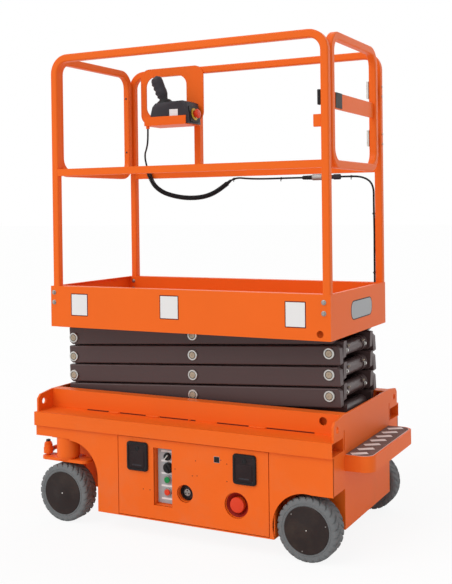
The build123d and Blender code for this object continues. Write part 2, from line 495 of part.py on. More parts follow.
# Entry gate
GATE_X = 547
GATE_Y0, GATE_Y1 = -269, 242
HINGE_X, HINGE_Y = 528, 258
HINGE_PIN_R = 4
HINGE_ZS = ((1484, 1548), (1674, 1742))
with BuildPart() as entry_gate:
    hoop(GATE_Y0, GATE_Y1, MID_TOP - RAIL, RAIL_TOP, GATE_X)
    fillet(entry_gate.edges().filter_by(lambda e: e.bounding_box().size.X < 1), RAIL_EDGE_R)
    block(GATE_X - 4, GATE_X + 4, GATE_Y0 + 15, GATE_Y1 - 15, 1596, 1655)
save(entry_gate.part, "entry_gate")
with BuildPart() as gate_hinges:
    for z0, z1 in HINGE_ZS:
        block(523, 531.5, 212, 252, z0, z1)
        rod_z(HINGE_X, HINGE_Y, 9, z0, z1)
        rod_z(HINGE_X, HINGE_Y, HINGE_PIN_R + 0.05, z0 - 1, z1 + 1, mode=Mode.SUBTRACT)
save(gate_hinges.part, "gate_hinges")
with BuildPart() as hinge_leaves:
    for z0, z1 in HINGE_ZS:
        rod_z(HINGE_X, HINGE_Y, HINGE_PIN_R, z0 - 8, z1 + 8)
        for low in (z0 - 8, z1 + 1):
            block(HINGE_X - 8, HINGE_X + 6, HINGE_Y - 8, POST_CENTRE_Y - RAIL / 2, low, low + 7)
        block(526, SIDE_X1 - RAIL, 270, POST_CENTRE_Y + RAIL / 2, z0 - 8, z1 + 8)
save(hinge_leaves.part, "hinge_leaves")

# Platform controls
BRACKET_Y0, BRACKET_Y1 = 270, 275.5
BRACKET_X, BRACKET_Z, BRACKET_W, BRACKET_H = -412, 1754, 324, 250
WINDOW_X, WINDOW_Z, WINDOW_W, WINDOW_H = -440, 1752, 210, 180
BRACKET_CORNER_R = 45
HOOK_X0, HOOK_X1, HOOK_T = -530, -290, 4
TRAY_X0, TRAY_X1, TRAY_Y = -477, -268, 140
TRAY_Z0, TRAY_LIP = 1610, 38
GLAND_X, GLAND_Y, GLAND_R, GLAND_Z0 = -466, 152, 8, 1598
with BuildPart() as control_bracket:
    with BuildSketch(Plane.XZ.offset(-BRACKET_Y1)) as face:
        with Locations((BRACKET_X, BRACKET_Z)):
            RectangleRounded(BRACKET_W, BRACKET_H, BRACKET_CORNER_R)
        with Locations((WINDOW_X, WINDOW_Z)):
            RectangleRounded(WINDOW_W, WINDOW_H, BRACKET_CORNER_R, mode=Mode.SUBTRACT)
    extrude(amount=BRACKET_Y1 - BRACKET_Y0)
    # hooks over the top rail
    block(HOOK_X0, HOOK_X1, BRACKET_Y0, DECK_Y + HOOK_T + 0.5, RAIL_TOP + 0.5, RAIL_TOP + 5.5)
    block(HOOK_X0, HOOK_X1, DECK_Y + 0.5, DECK_Y + HOOK_T + 0.5, RAIL_TOP - 23, RAIL_TOP + 1)
    # tray with a front lip, and the cable's gland
    block(TRAY_X0, TRAY_X1, TRAY_Y, BRACKET_Y1, TRAY_Z0, TRAY_Z0 + SHEET)
    block(TRAY_X0, TRAY_X1, TRAY_Y, TRAY_Y + SHEET, TRAY_Z0, TRAY_Z0 + TRAY_LIP)
    block(TRAY_X0, TRAY_X1, BRACKET_Y0, BRACKET_Y1, TRAY_Z0, TRAY_Z0 + TRAY_LIP)
    rod_z(GLAND_X, GLAND_Y, GLAND_R, GLAND_Z0, TRAY_Z0 + 1)
save(control_bracket.part, "control_bracket")

BOX_Y0, BOX_Y1 = 146, 262
BOX_OUTLINE = ((-448, TRAY_Z0 + SHEET), (-454, 1640), (-441, 1692), (-425, 1708), (-290, 1714), (-270, 1706),
               (-257, TRAY_Z0 + SHEET))
STICK_X, STICK_Y, STICK_Z = -405, 204, 1708
with BuildPart() as control_box:
    plate_xz(BOX_OUTLINE, BOX_Y0, BOX_Y1)
    with Locations((STICK_X, STICK_Y, STICK_Z + 12)):
        Cone(40, 24, 24)
    with BuildSketch(Plane(origin=(STICK_X, STICK_Y, STICK_Z + 10), z_dir=(-0.4, 0, 0.916))):
        Circle(18)
    extrude(amount=128)
save(control_box.part, "control_box")

# Control cable
CABLE_R, COIL_R = 4, 11
COIL_Y, RAIL_RUN_Y = 265, 286
RUN_Z = 1368
UPPER_RUN = ((GLAND_X, GLAND_Y, GLAND_Z0), (GLAND_X, GLAND_Y, 1543), (-505, 200, 1511), (-543, 248, 1496),
             (-552.4, COIL_Y, 1464), (-540, COIL_Y, 1424))
COIL_RUN = ((-540, COIL_Y, 1424), (-522, COIL_Y, 1366), (-470, COIL_Y, 1322), (-400, COIL_Y, 1300),
            (-320, COIL_Y, 1290), (-240, COIL_Y, 1296), (-175, COIL_Y, 1322), (-128, COIL_Y, 1356))
LOWER_RUN = ((-128, COIL_Y, 1356), (-98, COIL_Y, 1377.702), (-35, 280, RUN_Z + 2), (50, RAIL_RUN_Y, RUN_Z),
             (165, RAIL_RUN_Y, RUN_Z + 1), (280, RAIL_RUN_Y, RUN_Z), (395, RAIL_RUN_Y, RUN_Z + 1),
             (480, RAIL_RUN_Y, RUN_Z), (525, RAIL_RUN_Y, 1335), (524, RAIL_RUN_Y, 1255),
             (526, RAIL_RUN_Y, 1150), (525, RAIL_RUN_Y, 1045), (525, RAIL_RUN_Y, DECK_Z1))


def bend_radii(points):
    """Radius at each corner: 0.45 of the shorter run over the tangent of half the turn."""
    radii = []
    for before, corner, after in zip(points, points[1:], points[2:]):
        first, second = Vector(*corner) - Vector(*before), Vector(*after) - Vector(*corner)
        turn = radians(first.get_angle(second))
        radii.append(0.45 * min(first.length, second.length) / tan(turn / 2))
    return radii


def cord(points, radius, label):
    radii = bend_radii(points)
    with BuildPart() as run:
        with BuildLine() as path:
            FilletPolyline(*points, radius=radii)
        with BuildSketch(Plane(origin=path.line @ 0, z_dir=path.line % 0)):
            Circle(radius)
        sweep(path=path.line)
    length = sum(edge.length for edge in path.edges())
    print(label, "radii", [round(r) for r in radii], "length", round(length),
          "volume over section x length", round(run.part.volume / (pi * radius ** 2 * length), 4))
    return run.part


upper_run = cord(UPPER_RUN, CABLE_R, "upper run")
lower_run = cord(LOWER_RUN, CABLE_R, "lower run")
with BuildPart() as cable_runs:
    add(upper_run)
    add(lower_run)
save(cable_runs.part, "cable_runs")
save(cord(COIL_RUN, COIL_R, "coil"), "cable_coil")
with BuildPart() as cable_connector:
    for x0, x1, r in ((213, 258, 10), (258, 303, 13), (303, 352, 9), (352, 383, 12)):
        with Locations(Location(((x0 + x1) / 2, RAIL_RUN_Y, RUN_Z + 0.5), (0, 90, 0))):
            Cylinder(r, x1 - x0)
    with Locations(Location((298, RAIL_RUN_Y, RUN_Z + 0.5), (0, 90, 0))):
        Cylinder(CABLE_R + 0.8, 200, mode=Mode.SUBTRACT)
save(cable_connector.part, "cable_connector")
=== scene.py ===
import itertools
import math

import bpy
import numpy as np
from mathutils import Matrix, Vector


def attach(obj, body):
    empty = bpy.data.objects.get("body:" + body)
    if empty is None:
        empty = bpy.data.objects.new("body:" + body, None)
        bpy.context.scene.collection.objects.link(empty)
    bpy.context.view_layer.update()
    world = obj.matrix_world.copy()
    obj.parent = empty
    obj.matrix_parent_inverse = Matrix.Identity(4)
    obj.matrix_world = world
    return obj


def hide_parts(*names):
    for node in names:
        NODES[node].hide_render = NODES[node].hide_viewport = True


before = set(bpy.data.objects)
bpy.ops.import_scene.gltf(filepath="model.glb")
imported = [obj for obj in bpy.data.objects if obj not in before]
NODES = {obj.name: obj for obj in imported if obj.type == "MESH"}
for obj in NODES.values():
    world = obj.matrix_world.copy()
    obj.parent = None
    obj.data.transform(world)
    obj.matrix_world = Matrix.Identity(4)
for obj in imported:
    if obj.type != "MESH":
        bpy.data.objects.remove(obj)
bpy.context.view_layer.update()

# Camera, at the photograph's angle
IMAGE_LONG_SIDE = 584
FOCAL_PIXELS = 955.65
SENSOR = 36.0
LENS_SHIFT = (-1.26, -72.28)      # pixels
CAMERA_PLACE = (1.7748, -3.4413, 1.2430)
CAMERA_RIGHT = (0.88885, 0.45803, -0.01237)
CAMERA_UP = (0.00559, 0.01615, 0.99985)

camera_data = bpy.data.cameras.new("camera")
camera_data.sensor_width = SENSOR
camera_data.lens = FOCAL_PIXELS * SENSOR / IMAGE_LONG_SIDE
camera_data.shift_x = LENS_SHIFT[0] / IMAGE_LONG_SIDE
camera_data.shift_y = LENS_SHIFT[1] / IMAGE_LONG_SIDE
camera = bpy.data.objects.new("camera", camera_data)
bpy.context.scene.collection.objects.link(camera)
right, up = Vector(CAMERA_RIGHT).normalized(), Vector(CAMERA_UP).normalized()
back = right.cross(up)
turn = Matrix((right, up, back)).transposed().to_4x4()
camera.matrix_world = Matrix.Translation(CAMERA_PLACE) @ turn
bpy.context.scene.camera = camera
bpy.context.scene.view_settings.view_transform = "Standard"

MM = 0.001

# The machine's own sizes, in millimetres
DECK_Y, DECK_X0, DECK_X1, FLOOR_TOP = 306.5, -655, 562, 836
TOE_W = 36
PANEL_Y = 372
LATCH_Y = 377
WEB_Y = 268
PIN_HEAD_Y = 205
PIN_XS = {"left": -621, "middle": -54, "right": 513}
PIN_Z0, STAGE_RISE, STAGES = 480, 77.5, 4
WHEEL_R, TYRE_IN_Y, TYRE_OUT_Y, TYRE_BORE_R = 115, 290, 368, 84
WHEELS = {"front_near": (-564, -1), "front_far": (-564, 1), "rear_near": (486, -1), "rear_far": (486, 1)}
RAIL = 30
POST_Y = DECK_Y - RAIL / 2
GATE_POST_X = 546
STOP_CENTRE = (215, 168)


class Term:
    """A node's output that takes part in Python arithmetic, number by number."""

    def __init__(self, nodes, socket):
        self.nodes = nodes
        self.socket = socket

    def sum(self, how, first, second):
        return self.nodes.node("ShaderNodeMath", {"operation": how}, {0: first, 1: second})

    def __add__(self, other):
        return self.sum("ADD", self, other)

    def __radd__(self, other):
        return self.sum("ADD", other, self)

    def __sub__(self, other):
        return self.sum("SUBTRACT", self, other)

    def __rsub__(self, other):
        return self.sum("SUBTRACT", other, self)

    def __mul__(self, other):
        return self.sum("MULTIPLY", self, other)

    def __rmul__(self, other):
        return self.sum("MULTIPLY", other, self)

    def larger(self, other):
        return self.sum("MAXIMUM", self, other)


class Nodes:
    """A node tree, which one method fills."""

    def __init__(self, tree):
        self.tree = tree

    def node(self, kind, settings, inputs, out=0):
        made = self.tree.nodes.new(kind)
        for key, value in settings.items():
            setattr(made, key, value)
        for key, value in inputs.items():
            self.feed(made.inputs[key], value)
        return Term(self, made.outputs[out])

    def feed(self, socket, value):
        if isinstance(value, Term):
            self.tree.links.new(value.socket, socket)
        else:
            socket.default_value = value

    def ray(self, kind):
        """1 for rays of this kind, otherwise 0."""
        return self.node("ShaderNodeLightPath", {}, {}, f"Is {kind} Ray")


class Finish(Nodes):
    """One procedural material and its node tree."""

    def __init__(self, name):
        self.material = bpy.data.materials.new(name)
        self.material.use_nodes = True
        super().__init__(self.material.node_tree)
        self.shader = self.tree.nodes["Principled BSDF"]
        self.place = self.node("ShaderNodeTexCoord", {}, {}, "Object")

    def noise(self, scale, detail=2.0, rough=0.5, stretch=(1, 1, 1)):
        spread = self.node("ShaderNodeVectorMath", {"operation": "MULTIPLY"}, {0: self.place, 1: stretch})
        return self.node("ShaderNodeTexNoise", {},
                         {"Vector": spread, "Scale": scale, "Detail": detail, "Roughness": rough})

    def ramp(self, value, low, high):
        """0 below low, 1 above high, smooth between."""
        return self.node("ShaderNodeMapRange", {"interpolation_type": "SMOOTHSTEP"},
                         {"Value": value, "From Min": low, "From Max": high})

    def blend(self, share, first, second):
        """A colour from first to second as share goes from 0 to 1."""
        return self.node("ShaderNodeMix", {"data_type": "RGBA"},
                         {0: share, 6: rgba(first), 7: rgba(second)}, 2)

    def height(self):
        return self.node("ShaderNodeSeparateXYZ", {}, {0: self.place}, "Z")

    def bump(self, height, depth):
        return self.node("ShaderNodeBump", {},
                         {"Height": height, "Distance": depth, "Strength": 1.0}, "Normal")

    def set(self, **inputs):
        names = {"base": "Base Color", "rough": "Roughness", "metal": "Metallic",
                 "normal": "Normal", "specular": "Specular IOR Level"}
        for key, value in inputs.items():
            self.feed(self.shader.inputs[names[key]], rgba(value) if key == "base" else value)
        return self.material


def rgba(colour):
    return colour if isinstance(colour, Term) else (*colour[:3], 1.0)


def shade(colour, k):
    return tuple(min(1.0, c * k) for c in colour[:3])


DUST = (0.40, 0.28, 0.18)
RUBBER_DIRT = (0.10, 0.10, 0.10)
GRAIN_SCALE = 700.0


def sprayed(name, colour, rough=0.40, peel=0.00010, dusty=0.10, shine=0.16):
    """Sprayed enamel: slow drift of tone, orange peel, faint scuffs, and dust that thins out upwards."""
    f = Finish(name)
    drift = f.noise(2.6, 3.0)
    scuff = f.ramp(f.noise(46.0, 6.0, 0.72), 0.60, 0.78)
    dust = f.ramp(f.noise(9.0, 5.0, 0.65), 0.42, 0.74) * (1.0 - f.ramp(f.height(), 0.05, 0.62)) * dusty
    tone = f.blend(drift, shade(colour, 0.92), shade(colour, 1.06))
    worn = f.blend(scuff * 0.16, tone, shade(colour, 0.80))
    dusted = f.blend(dust, worn, DUST)
    peeled = f.bump(f.noise(420.0, 2.0) + f.noise(60.0, 2.0) * 0.6, peel)
    dulled = rough + scuff * 0.14 + dust * 0.5 + drift * 0.05
    return f.set(base=dusted, rough=dulled, specular=shine, normal=peeled)


def moulded(name, colour, rough, grain=0.00012):
    """Moulded plastic or rubber: a fine even grain, with paler rubbed patches."""
    f = Finish(name)
    rub = f.ramp(f.noise(18.0, 5.0, 0.65), 0.45, 0.75)
    tone = f.blend(rub, shade(colour, 0.9), tuple(c * 0.9 + 0.008 for c in colour))
    grained = f.bump(f.noise(GRAIN_SCALE, 2.0), grain)
    return f.set(base=tone, rough=rough + rub * 0.12, specular=0.20, normal=grained)


def machined(name, colour, rough=0.30, stretch=(1, 1, 18)):
    """Bare or plated metal, with brushing along one direction and dull spots."""
    f = Finish(name)
    brush = f.noise(140.0, 3.0, 0.6, stretch)
    dull = f.ramp(f.noise(60.0, 4.0, 0.6), 0.40, 0.80)
    tone = f.blend(dull, colour, shade(colour, 0.78))
    worn = rough + dull * 0.18 + brush * 0.06
    return f.set(base=tone, metal=1.0, rough=worn, normal=f.bump(brush, 0.00004))


def tyre_rubber(name, colour):
    """Grey non-marking rubber: mottled, with scuffed dirt on the tread and fine pores."""
    f = Finish(name)
    mottle = f.noise(30.0, 5.0, 0.62)
    dirt = f.ramp(f.noise(75.0, 6.0, 0.7), 0.48, 0.72)
    tone = f.blend(mottle, shade(colour, 0.80), shade(colour, 1.14))
    dirty = f.blend(dirt * 0.30, tone, RUBBER_DIRT)
    pores = f.bump(f.noise(900.0, 3.0), 0.00016)
    return f.set(base=dirty, rough=0.74 + mottle * 0.14, specular=0.35, normal=pores)


def gritty(name, colour):
    """Anti-slip sheet: coarse grit bonded to the metal, worn paler in patches."""
    f = Finish(name)
    grit = f.noise(1300.0, 2.0, 0.6)
    worn = f.ramp(f.noise(24.0, 5.0, 0.6), 0.42, 0.70)
    tone = f.blend(grit, shade(colour, 0.7), shade(colour, 1.4))
    trodden = f.blend(worn * 0.35, tone, shade(colour, 2.0))
    return f.set(base=trodden, rough=0.82 - worn * 0.12, normal=f.bump(grit, 0.0006))


ORANGE = (0.880, 0.142, 0.012)
ARM_BROWN = (0.080, 0.048, 0.047)
FINISHES = {
    "orange": sprayed("orange enamel", ORANGE),
    "arm": sprayed("charcoal enamel", ARM_BROWN, 0.34, 0.00012, 0.04, 0.30),
    "hub": sprayed("black hub enamel", (0.022, 0.014, 0.013), 0.46, 0.00008, 0.06, 0.22),
    "tyre": tyre_rubber("grey tyre rubber", (0.165, 0.172, 0.176)),
    "black": moulded("black plastic", (0.013, 0.012, 0.013), 0.46),
    "latch": moulded("latch plastic", (0.020, 0.010, 0.011), 0.40, 0.00008),
    "dark": moulded("dark grey plastic", (0.036, 0.033, 0.040), 0.40),
    "cable": moulded("cable sheath", (0.010, 0.010, 0.012), 0.52, 0.00005),
    "steel": machined("zinc plated steel", (0.62, 0.61, 0.58)),
    "dull steel": machined("dull bolt steel", (0.36, 0.35, 0.33), 0.44, (1, 1, 1)),
    "chrome": machined("hard chromed rod", (0.80, 0.80, 0.81), 0.10, (1, 20, 1)),
    "bronze": machined("pin end", (0.44, 0.37, 0.28), 0.48, (1, 1, 1)),
    # the anti-slip sheet's reddish brown is partly its own dark tone and partly a painted reflection of the
    # orange chassis
    "tread": gritty("anti-slip tread", (0.120, 0.062, 0.052)),
    "white": sprayed("white vinyl", (0.80, 0.79, 0.78), 0.40, 0.00003, 0.02),
    "silver": sprayed("silver plate", (0.40, 0.41, 0.42), 0.34, 0.00003, 0.0),
    "maroon": sprayed("dark red border", (0.13, 0.016, 0.010), 0.40, 0.00003, 0.0),
    "bowl": sprayed("dark red bowl", (0.30, 0.016, 0.010), 0.44, 0.00003, 0.0),
    "red": moulded("red button", (0.80, 0.055, 0.016), 0.34, 0.00002),
    "green": moulded("green button", (0.012, 0.28, 0.075), 0.32, 0.00002),
    "yellow": moulded("yellow ring", (0.72, 0.50, 0.04), 0.38, 0.00003),
    "floor plate": sprayed("deck floor enamel", shade(ORANGE, 0.92), 0.46, 0.00014, 0.3),
}

# Which finish each CAD node takes, by the start of its name; the rest are orange
NODE_FINISHES = {"battery_pack": "black", "hydraulic_unit": "hub", "latches": "latch", "tyre": "tyre",
                 "hub_": "hub", "rear_stub_axles": "hub", "chassis_rollers": "steel",
                 "platform_rollers": "steel", "outer_arms": "arm", "inner_arms": "arm",
                 "lift_barrel": "hub", "lift_rod": "chrome", "gate_hinges": "steel",
                 "hinge_leaves": "steel", "control_box": "dark", "cable_runs": "cable",
                 "cable_coil": "cable", "cable_connector": "black"}


def finish_nodes():
    for name, node in NODES.items():
        found = [finish for start, finish in NODE_FINISHES.items() if name.startswith(start)]
        node.data.materials.clear()
        node.data.materials.append(FINISHES[found[0] if found else "orange"])


finish_nodes()


def unit(vector):
    vector = np.asarray(vector, float)
    return vector / np.linalg.norm(vector)


def units(vectors):
    return vectors / np.linalg.norm(vectors, axis=1)[:, None]


def headings(path):
    """The direction of travel at each point of a path."""
    return units(np.gradient(path, axis=0))


class Spot:
    """A place on the machine: a centre in millimetres, the direction that points out, and the one
    that is up."""

    def __init__(self, centre, out, up=(0, 0, 1)):
        self.centre = np.asarray(centre, float)
        self.out = unit(out)
        self.side = unit(np.cross(up, self.out))
        self.up = np.cross(self.out, self.side)

    def points(self, side, up, out):
        """The machine's points for arrays of local coordinates."""
        side, up, out = np.broadcast_arrays(side, up, out)
        local = side[..., None] * self.side + up[..., None] * self.up + out[..., None] * self.out
        return self.centre + local

    def moved(self, side=0.0, up=0.0, out=0.0):
        return Spot(self.points(side, up, out), self.out, self.up)

    def rolled(self, turn):
        """The same place turned about its own axis, in degrees."""
        angle = math.radians(turn)
        return Spot(self.centre, self.out, self.up * math.cos(angle) + self.side * math.sin(angle))


def grid_faces(rows, columns):
    """Quads between neighbouring points of a grid whose columns close on themselves."""
    r, c = np.meshgrid(np.arange(rows - 1), np.arange(columns), indexing="ij")
    here, after = r * columns + c, r * columns + (c + 1) % columns
    return np.stack([here, after, after + columns, here + columns], -1).reshape(-1, 4)


class Piece:
    """One mesh piece, gathered from closed surfaces given in millimetres."""

    def __init__(self, name, body):
        self.name = name
        self.body = body
        self.points = []
        self.faces = []
        self.finishes = []
        self.count = 0

    def surface(self, points, quads, caps, finish):
        """Adds one closed surface and turns its faces outward by the sign of its volume."""
        points = np.asarray(points, float).reshape(-1, 3)
        centred = points - points.mean(0)
        fans = [quads[:, [0, 1, 2]], quads[:, [0, 2, 3]]]
        for cap in caps:
            fans.append(np.stack([np.full(len(cap) - 2, cap[0]), cap[1:-1], cap[2:]], 1))
        fan = np.concatenate(fans)
        first, second, third = (centred[fan[:, k]] for k in range(3))
        volume = np.einsum("ij,ij->", first, np.cross(second, third))
        every = [face.tolist() for face in quads] + [list(map(int, cap)) for cap in caps]
        if volume < 0:
            every = [face[::-1] for face in every]
        self.points.append(points)
        self.faces += [[i + self.count for i in face] for face in every]
        self.finishes += [finish] * len(every)
        self.count += len(points)
        return self

    def rings(self, rings, finish, closed=False):
        """A skin over rings of points; its ends are capped, or it closes on its first ring."""
        rings = np.asarray(rings, float)
        rows, columns = rings.shape[:2]
        if closed:
            rings = np.concatenate([rings, rings[:1]])
            quads = grid_faces(rows + 1, columns) % (rows * columns)
            return self.surface(rings[:-1], quads, [], finish)
        ends = [np.arange(columns)[::-1], (rows - 1) * columns + np.arange(columns)]
        return self.surface(rings, grid_faces(rows, columns), ends, finish)

    def turned(self, spot, profile, finish, steps=40, closed=False):
        """A profile of (out, radius) pairs turned round the spot's axis."""
        out, radius = np.asarray(profile, float).T
        angle = np.arange(steps) * 2 * math.pi / steps
        rings = spot.points(radius[:, None] * np.cos(angle), radius[:, None] * np.sin(angle), out[:, None])
        return self.rings(rings, finish, closed)

    def pad(self, spot, width, height, corner, depth, finish, edge=0.6):
        """A rounded rectangle standing out from the spot, with a small bevel round its face."""
        rings = []
        for inset, out in ((0.0, 0.0), (0.0, depth - edge), (edge, depth)):
            side, top = rounded(width - 2 * inset, height - 2 * inset, max(corner - inset, 0.05))
            rings.append(spot.points(side, top, np.full(len(side), out)))
        return self.rings(rings, finish)

    def slab(self, low, high, finish, edge=1.0):
        """A box between two corners, bevelled all round."""
        low, high = np.minimum(low, high), np.maximum(low, high)
        size = high - low
        spot = Spot(((low[0] + high[0]) / 2, (low[1] + high[1]) / 2, low[2]), (0, 0, 1), (0, 1, 0))
        rings = []
        for inset, out in ((edge, 0.0), (0.0, edge), (0.0, size[2] - edge), (edge, size[2])):
            side, top = rounded(size[0] - 2 * inset, size[1] - 2 * inset, max(edge - inset, 0.05), 2)
            rings.append(spot.points(side, top, np.full(len(side), out)))
        return self.rings(rings, finish)

    def tube(self, path, radius, finish, sides, beside):
        """A round section carried along a path: radius times the cosine and sine of the angle, across
        the path and square to that; beside is a direction that the path never takes."""
        path = np.asarray(path, float)
        along = headings(path)
        across = units(np.cross(along, np.broadcast_to(beside, path.shape)))
        lift = np.cross(across, along)
        angle = (np.arange(sides) * 2 * math.pi / sides)[:, None]
        section = across[:, None] * np.cos(angle) + lift[:, None] * np.sin(angle)
        return self.rings(path[:, None] + radius * section, finish)

    def bolt(self, spot, across, height, washer=True, finish="steel"):
        """A hexagon head on a washer: a six-sided turned profile with its corners taken off."""
        start = 0.0
        if washer:
            self.turned(spot, ((0, across * 0.78), (1.2, across * 0.78), (1.6, across * 0.70)), finish, 24)
            start = 1.5
        r = across / math.sqrt(3)
        self.turned(spot, ((start, r), (start + height * 0.82, r), (start + height, r * 0.84)), finish, 6)
        return self

    def screw(self, spot, radius, height, finish="steel"):
        """A domed screw or rivet head."""
        t = np.linspace(0, 1, 5)
        profile = np.stack([height * np.sin(t * math.pi / 2), radius * np.cos(t * math.pi / 2 * 0.92)], 1)
        return self.turned(spot, profile, finish, 16)

    def make(self, smooth=35.0):
        mesh = bpy.data.meshes.new(self.name)
        mesh.from_pydata((np.concatenate(self.points) * MM).tolist(), [], self.faces)
        used = sorted(set(self.finishes))
        for finish in used:
            mesh.materials.append(FINISHES[finish])
        slots = np.array([used.index(finish) for finish in self.finishes], np.int32)
        mesh.polygons.foreach_set("material_index", slots)
        mesh.polygons.foreach_set("use_smooth", np.ones(len(mesh.polygons), bool))
        mesh.set_sharp_from_angle(angle=math.radians(smooth))
        mesh.update()
        made = bpy.data.objects.new(self.name, mesh)
        bpy.context.scene.collection.objects.link(made)
        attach(made, self.body)
        return made


def rounded(width, height, corner, steps=6):
    """Outline of a rounded rectangle about the origin: four quarter arcs, one after the other."""
    corner = min(corner, width / 2 - 0.01, height / 2 - 0.01)
    angle = np.concatenate([np.linspace(0, math.pi / 2, steps) + k * math.pi / 2 for k in range(4)])
    quarter = np.repeat(np.arange(4), steps)
    centre_x = np.where((quarter == 0) | (quarter == 3), 1, -1) * (width / 2 - corner)
    centre_y = np.where(quarter < 2, 1, -1) * (height / 2 - corner)
    return centre_x + corner * np.cos(angle), centre_y + corner * np.sin(angle)


# The control cable's route, in metres: a thin run, a curly run and a thin run into the deck
COIL_Y, RAIL_RUN_Y, RUN_Z = 0.265, 0.286, 1.368
UPPER_RUN = ((-0.466, 0.152, 1.598), (-0.466, 0.152, 1.543), (-0.505, 0.200, 1.511),
             (-0.543, 0.248, 1.496), (-0.5524, COIL_Y, 1.464), (-0.540, COIL_Y, 1.424))
COIL_RUN = ((-0.540, COIL_Y, 1.424), (-0.522, COIL_Y, 1.366), (-0.470, COIL_Y, 1.322),
            (-0.400, COIL_Y, 1.300), (-0.320, COIL_Y, 1.290), (-0.240, COIL_Y, 1.296),
            (-0.175, COIL_Y, 1.322), (-0.128, COIL_Y, 1.356))
LOWER_RUN = ((-0.128, COIL_Y, 1.356), (-0.098, COIL_Y, 1.3777), (-0.035, 0.280, RUN_Z + 0.002),
             (0.050, RAIL_RUN_Y, RUN_Z), (0.165, RAIL_RUN_Y, RUN_Z + 0.001),
             (0.280, RAIL_RUN_Y, RUN_Z), (0.395, RAIL_RUN_Y, RUN_Z + 0.001),
             (0.480, RAIL_RUN_Y, RUN_Z), (0.525, RAIL_RUN_Y, 1.335), (0.524, RAIL_RUN_Y, 1.255),
             (0.526, RAIL_RUN_Y, 1.150), (0.525, RAIL_RUN_Y, 1.045), (0.525, RAIL_RUN_Y, 0.936))
CABLE_R = 0.004
WIRE_R, COIL_R = 0.0028, 0.011
COIL_PITCH = 0.0066
STEPS_A_TURN = 18
# along, radius, in millimetres, of the moulded sleeve at each end of the curly run
SLEEVE = ((-16, 4.6), (-13, 6.0), (2, 7.4), (6, 7.0))


def spline(name, route, radius):
    """A round cable whose line is one NURBS spline with the route's points as its control points."""
    curve = bpy.data.curves.new(name, "CURVE")
    curve.dimensions = "3D"
    curve.resolution_u = 8
    line = curve.splines.new("NURBS")
    line.points.add(len(route) - 1)
    for point, place in zip(line.points, route):
        point.co = (*place, 1.0)
    line.order_u = 3
    line.use_endpoint_u = True
    curve.bevel_depth = radius
    curve.bevel_resolution = 3
    curve.use_fill_caps = True
    made = bpy.data.objects.new(name, curve)
    bpy.context.scene.collection.objects.link(made)
    if radius:
        curve.materials.append(FINISHES["cable"])
    return made


def spline_points(route):
    """Points of the route's own NURBS spline, in order, as an array in metres."""
    guide = spline("guide", route, 0.0)
    mesh = bpy.data.meshes.new_from_object(guide)
    points = np.zeros(len(mesh.vertices) * 3)
    mesh.vertices.foreach_get("co", points)
    curve = guide.data
    bpy.data.objects.remove(guide)
    bpy.data.curves.remove(curve)
    bpy.data.meshes.remove(mesh)
    return points.reshape(-1, 3)


def evenly(points, count):
    """The line through points, read at even steps of its length."""
    reach = np.concatenate([[0], np.cumsum(np.linalg.norm(np.diff(points, axis=0), axis=1))])
    where = np.linspace(0, reach[-1], count)
    return np.stack([np.interp(where, reach, points[:, k]) for k in range(3)], 1)


def line_length(points):
    return float(np.linalg.norm(np.diff(points, axis=0), axis=1).sum())


def coil_path():
    """A helix round the curly run: its radius times the cosine and sine of the turn, across the line
    and beside it. The radius grows from nothing over the first turn and shrinks over the last."""
    line = spline_points(COIL_RUN)
    turns = line_length(line) / COIL_PITCH
    centre = evenly(line, int(turns * STEPS_A_TURN))
    beside = np.broadcast_to((0.0, 1.0, 0.0), centre.shape)
    across = units(np.cross(headings(centre), beside))
    share = np.linspace(0, 1, len(centre))
    angle = (share * turns * 2 * math.pi)[:, None]
    reach = (COIL_R - WIRE_R) * np.clip(np.minimum(share, 1 - share) * turns, 0, 1)
    radial = across * np.cos(angle) + beside * np.sin(angle)
    return centre + reach[:, None] * radial, radial


def make_sleeve(name, first, second):
    """A moulded sleeve over a run's end, from the first route point towards the second."""
    sleeve = Piece(name, "platform")
    start, after = np.array(first) / MM, np.array(second) / MM
    sleeve.turned(Spot(start, after - start, (0, 1, 0)), SLEEVE, "cable", 20)
    return sleeve.make()


def make_cable():
    upper = spline("cable_upper_run", UPPER_RUN, CABLE_R)
    lower = spline("cable_lower_run", LOWER_RUN, CABLE_R)
    wire, radial = coil_path()
    coil_piece = Piece("cable_curly_run", "platform")
    coil_piece.tube(wire / MM, WIRE_R / MM, "cable", 8, radial)
    coil = coil_piece.make()
    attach(upper, "platform")
    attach(lower, "platform")
    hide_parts("cable_runs")
    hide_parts("cable_runs")
    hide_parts("cable_coil")
    sleeve_upper = make_sleeve("cable_sleeve_upper", COIL_RUN[0], COIL_RUN[1])
    sleeve_lower = make_sleeve("cable_sleeve_lower", COIL_RUN[-1], COIL_RUN[-2])
    ties = make_ties()
    connector = make_connector()
    line_length(spline_points(UPPER_RUN))
    line_length(wire)
    line_length(spline_points(LOWER_RUN))


# x, y, z and the cable's direction at each tie, in millimetres
TIES = ((-100, 266.5, 1371, (1, 0, 0)), (115, 286, 1368.5, (1, 0, 0)), (430, 286, 1368.5, (1, 0, 0)),
        (524.6, 286, 1215, (0, 0, 1)), (525.2, 286, 975, (0, 0, 1)))


def make_ties():
    """Cable ties: a flat band round the cable and a square head with a cut tail."""
    ties = Piece("cable_ties", "platform")
    for x, y, z, along in TIES:
        spot = Spot((x, y, z), along, (0, 1, 0))
        ties.turned(spot, ((-2.4, 4.2), (-2.4, 5.6), (2.4, 5.6), (2.4, 4.2)), "black", 20, closed=True)
        ties.pad(Spot((x, y - 5, z), (0, -1, 0)), 7, 6, 1.0, 5.0, "black")
        ties.pad(Spot((x, y - 6, z - 5), (0.3, -0.4, -1), (0, 1, 0)), 3.6, 1.2, 0.3, 9.0, "black", 0.2)
    return ties.make()


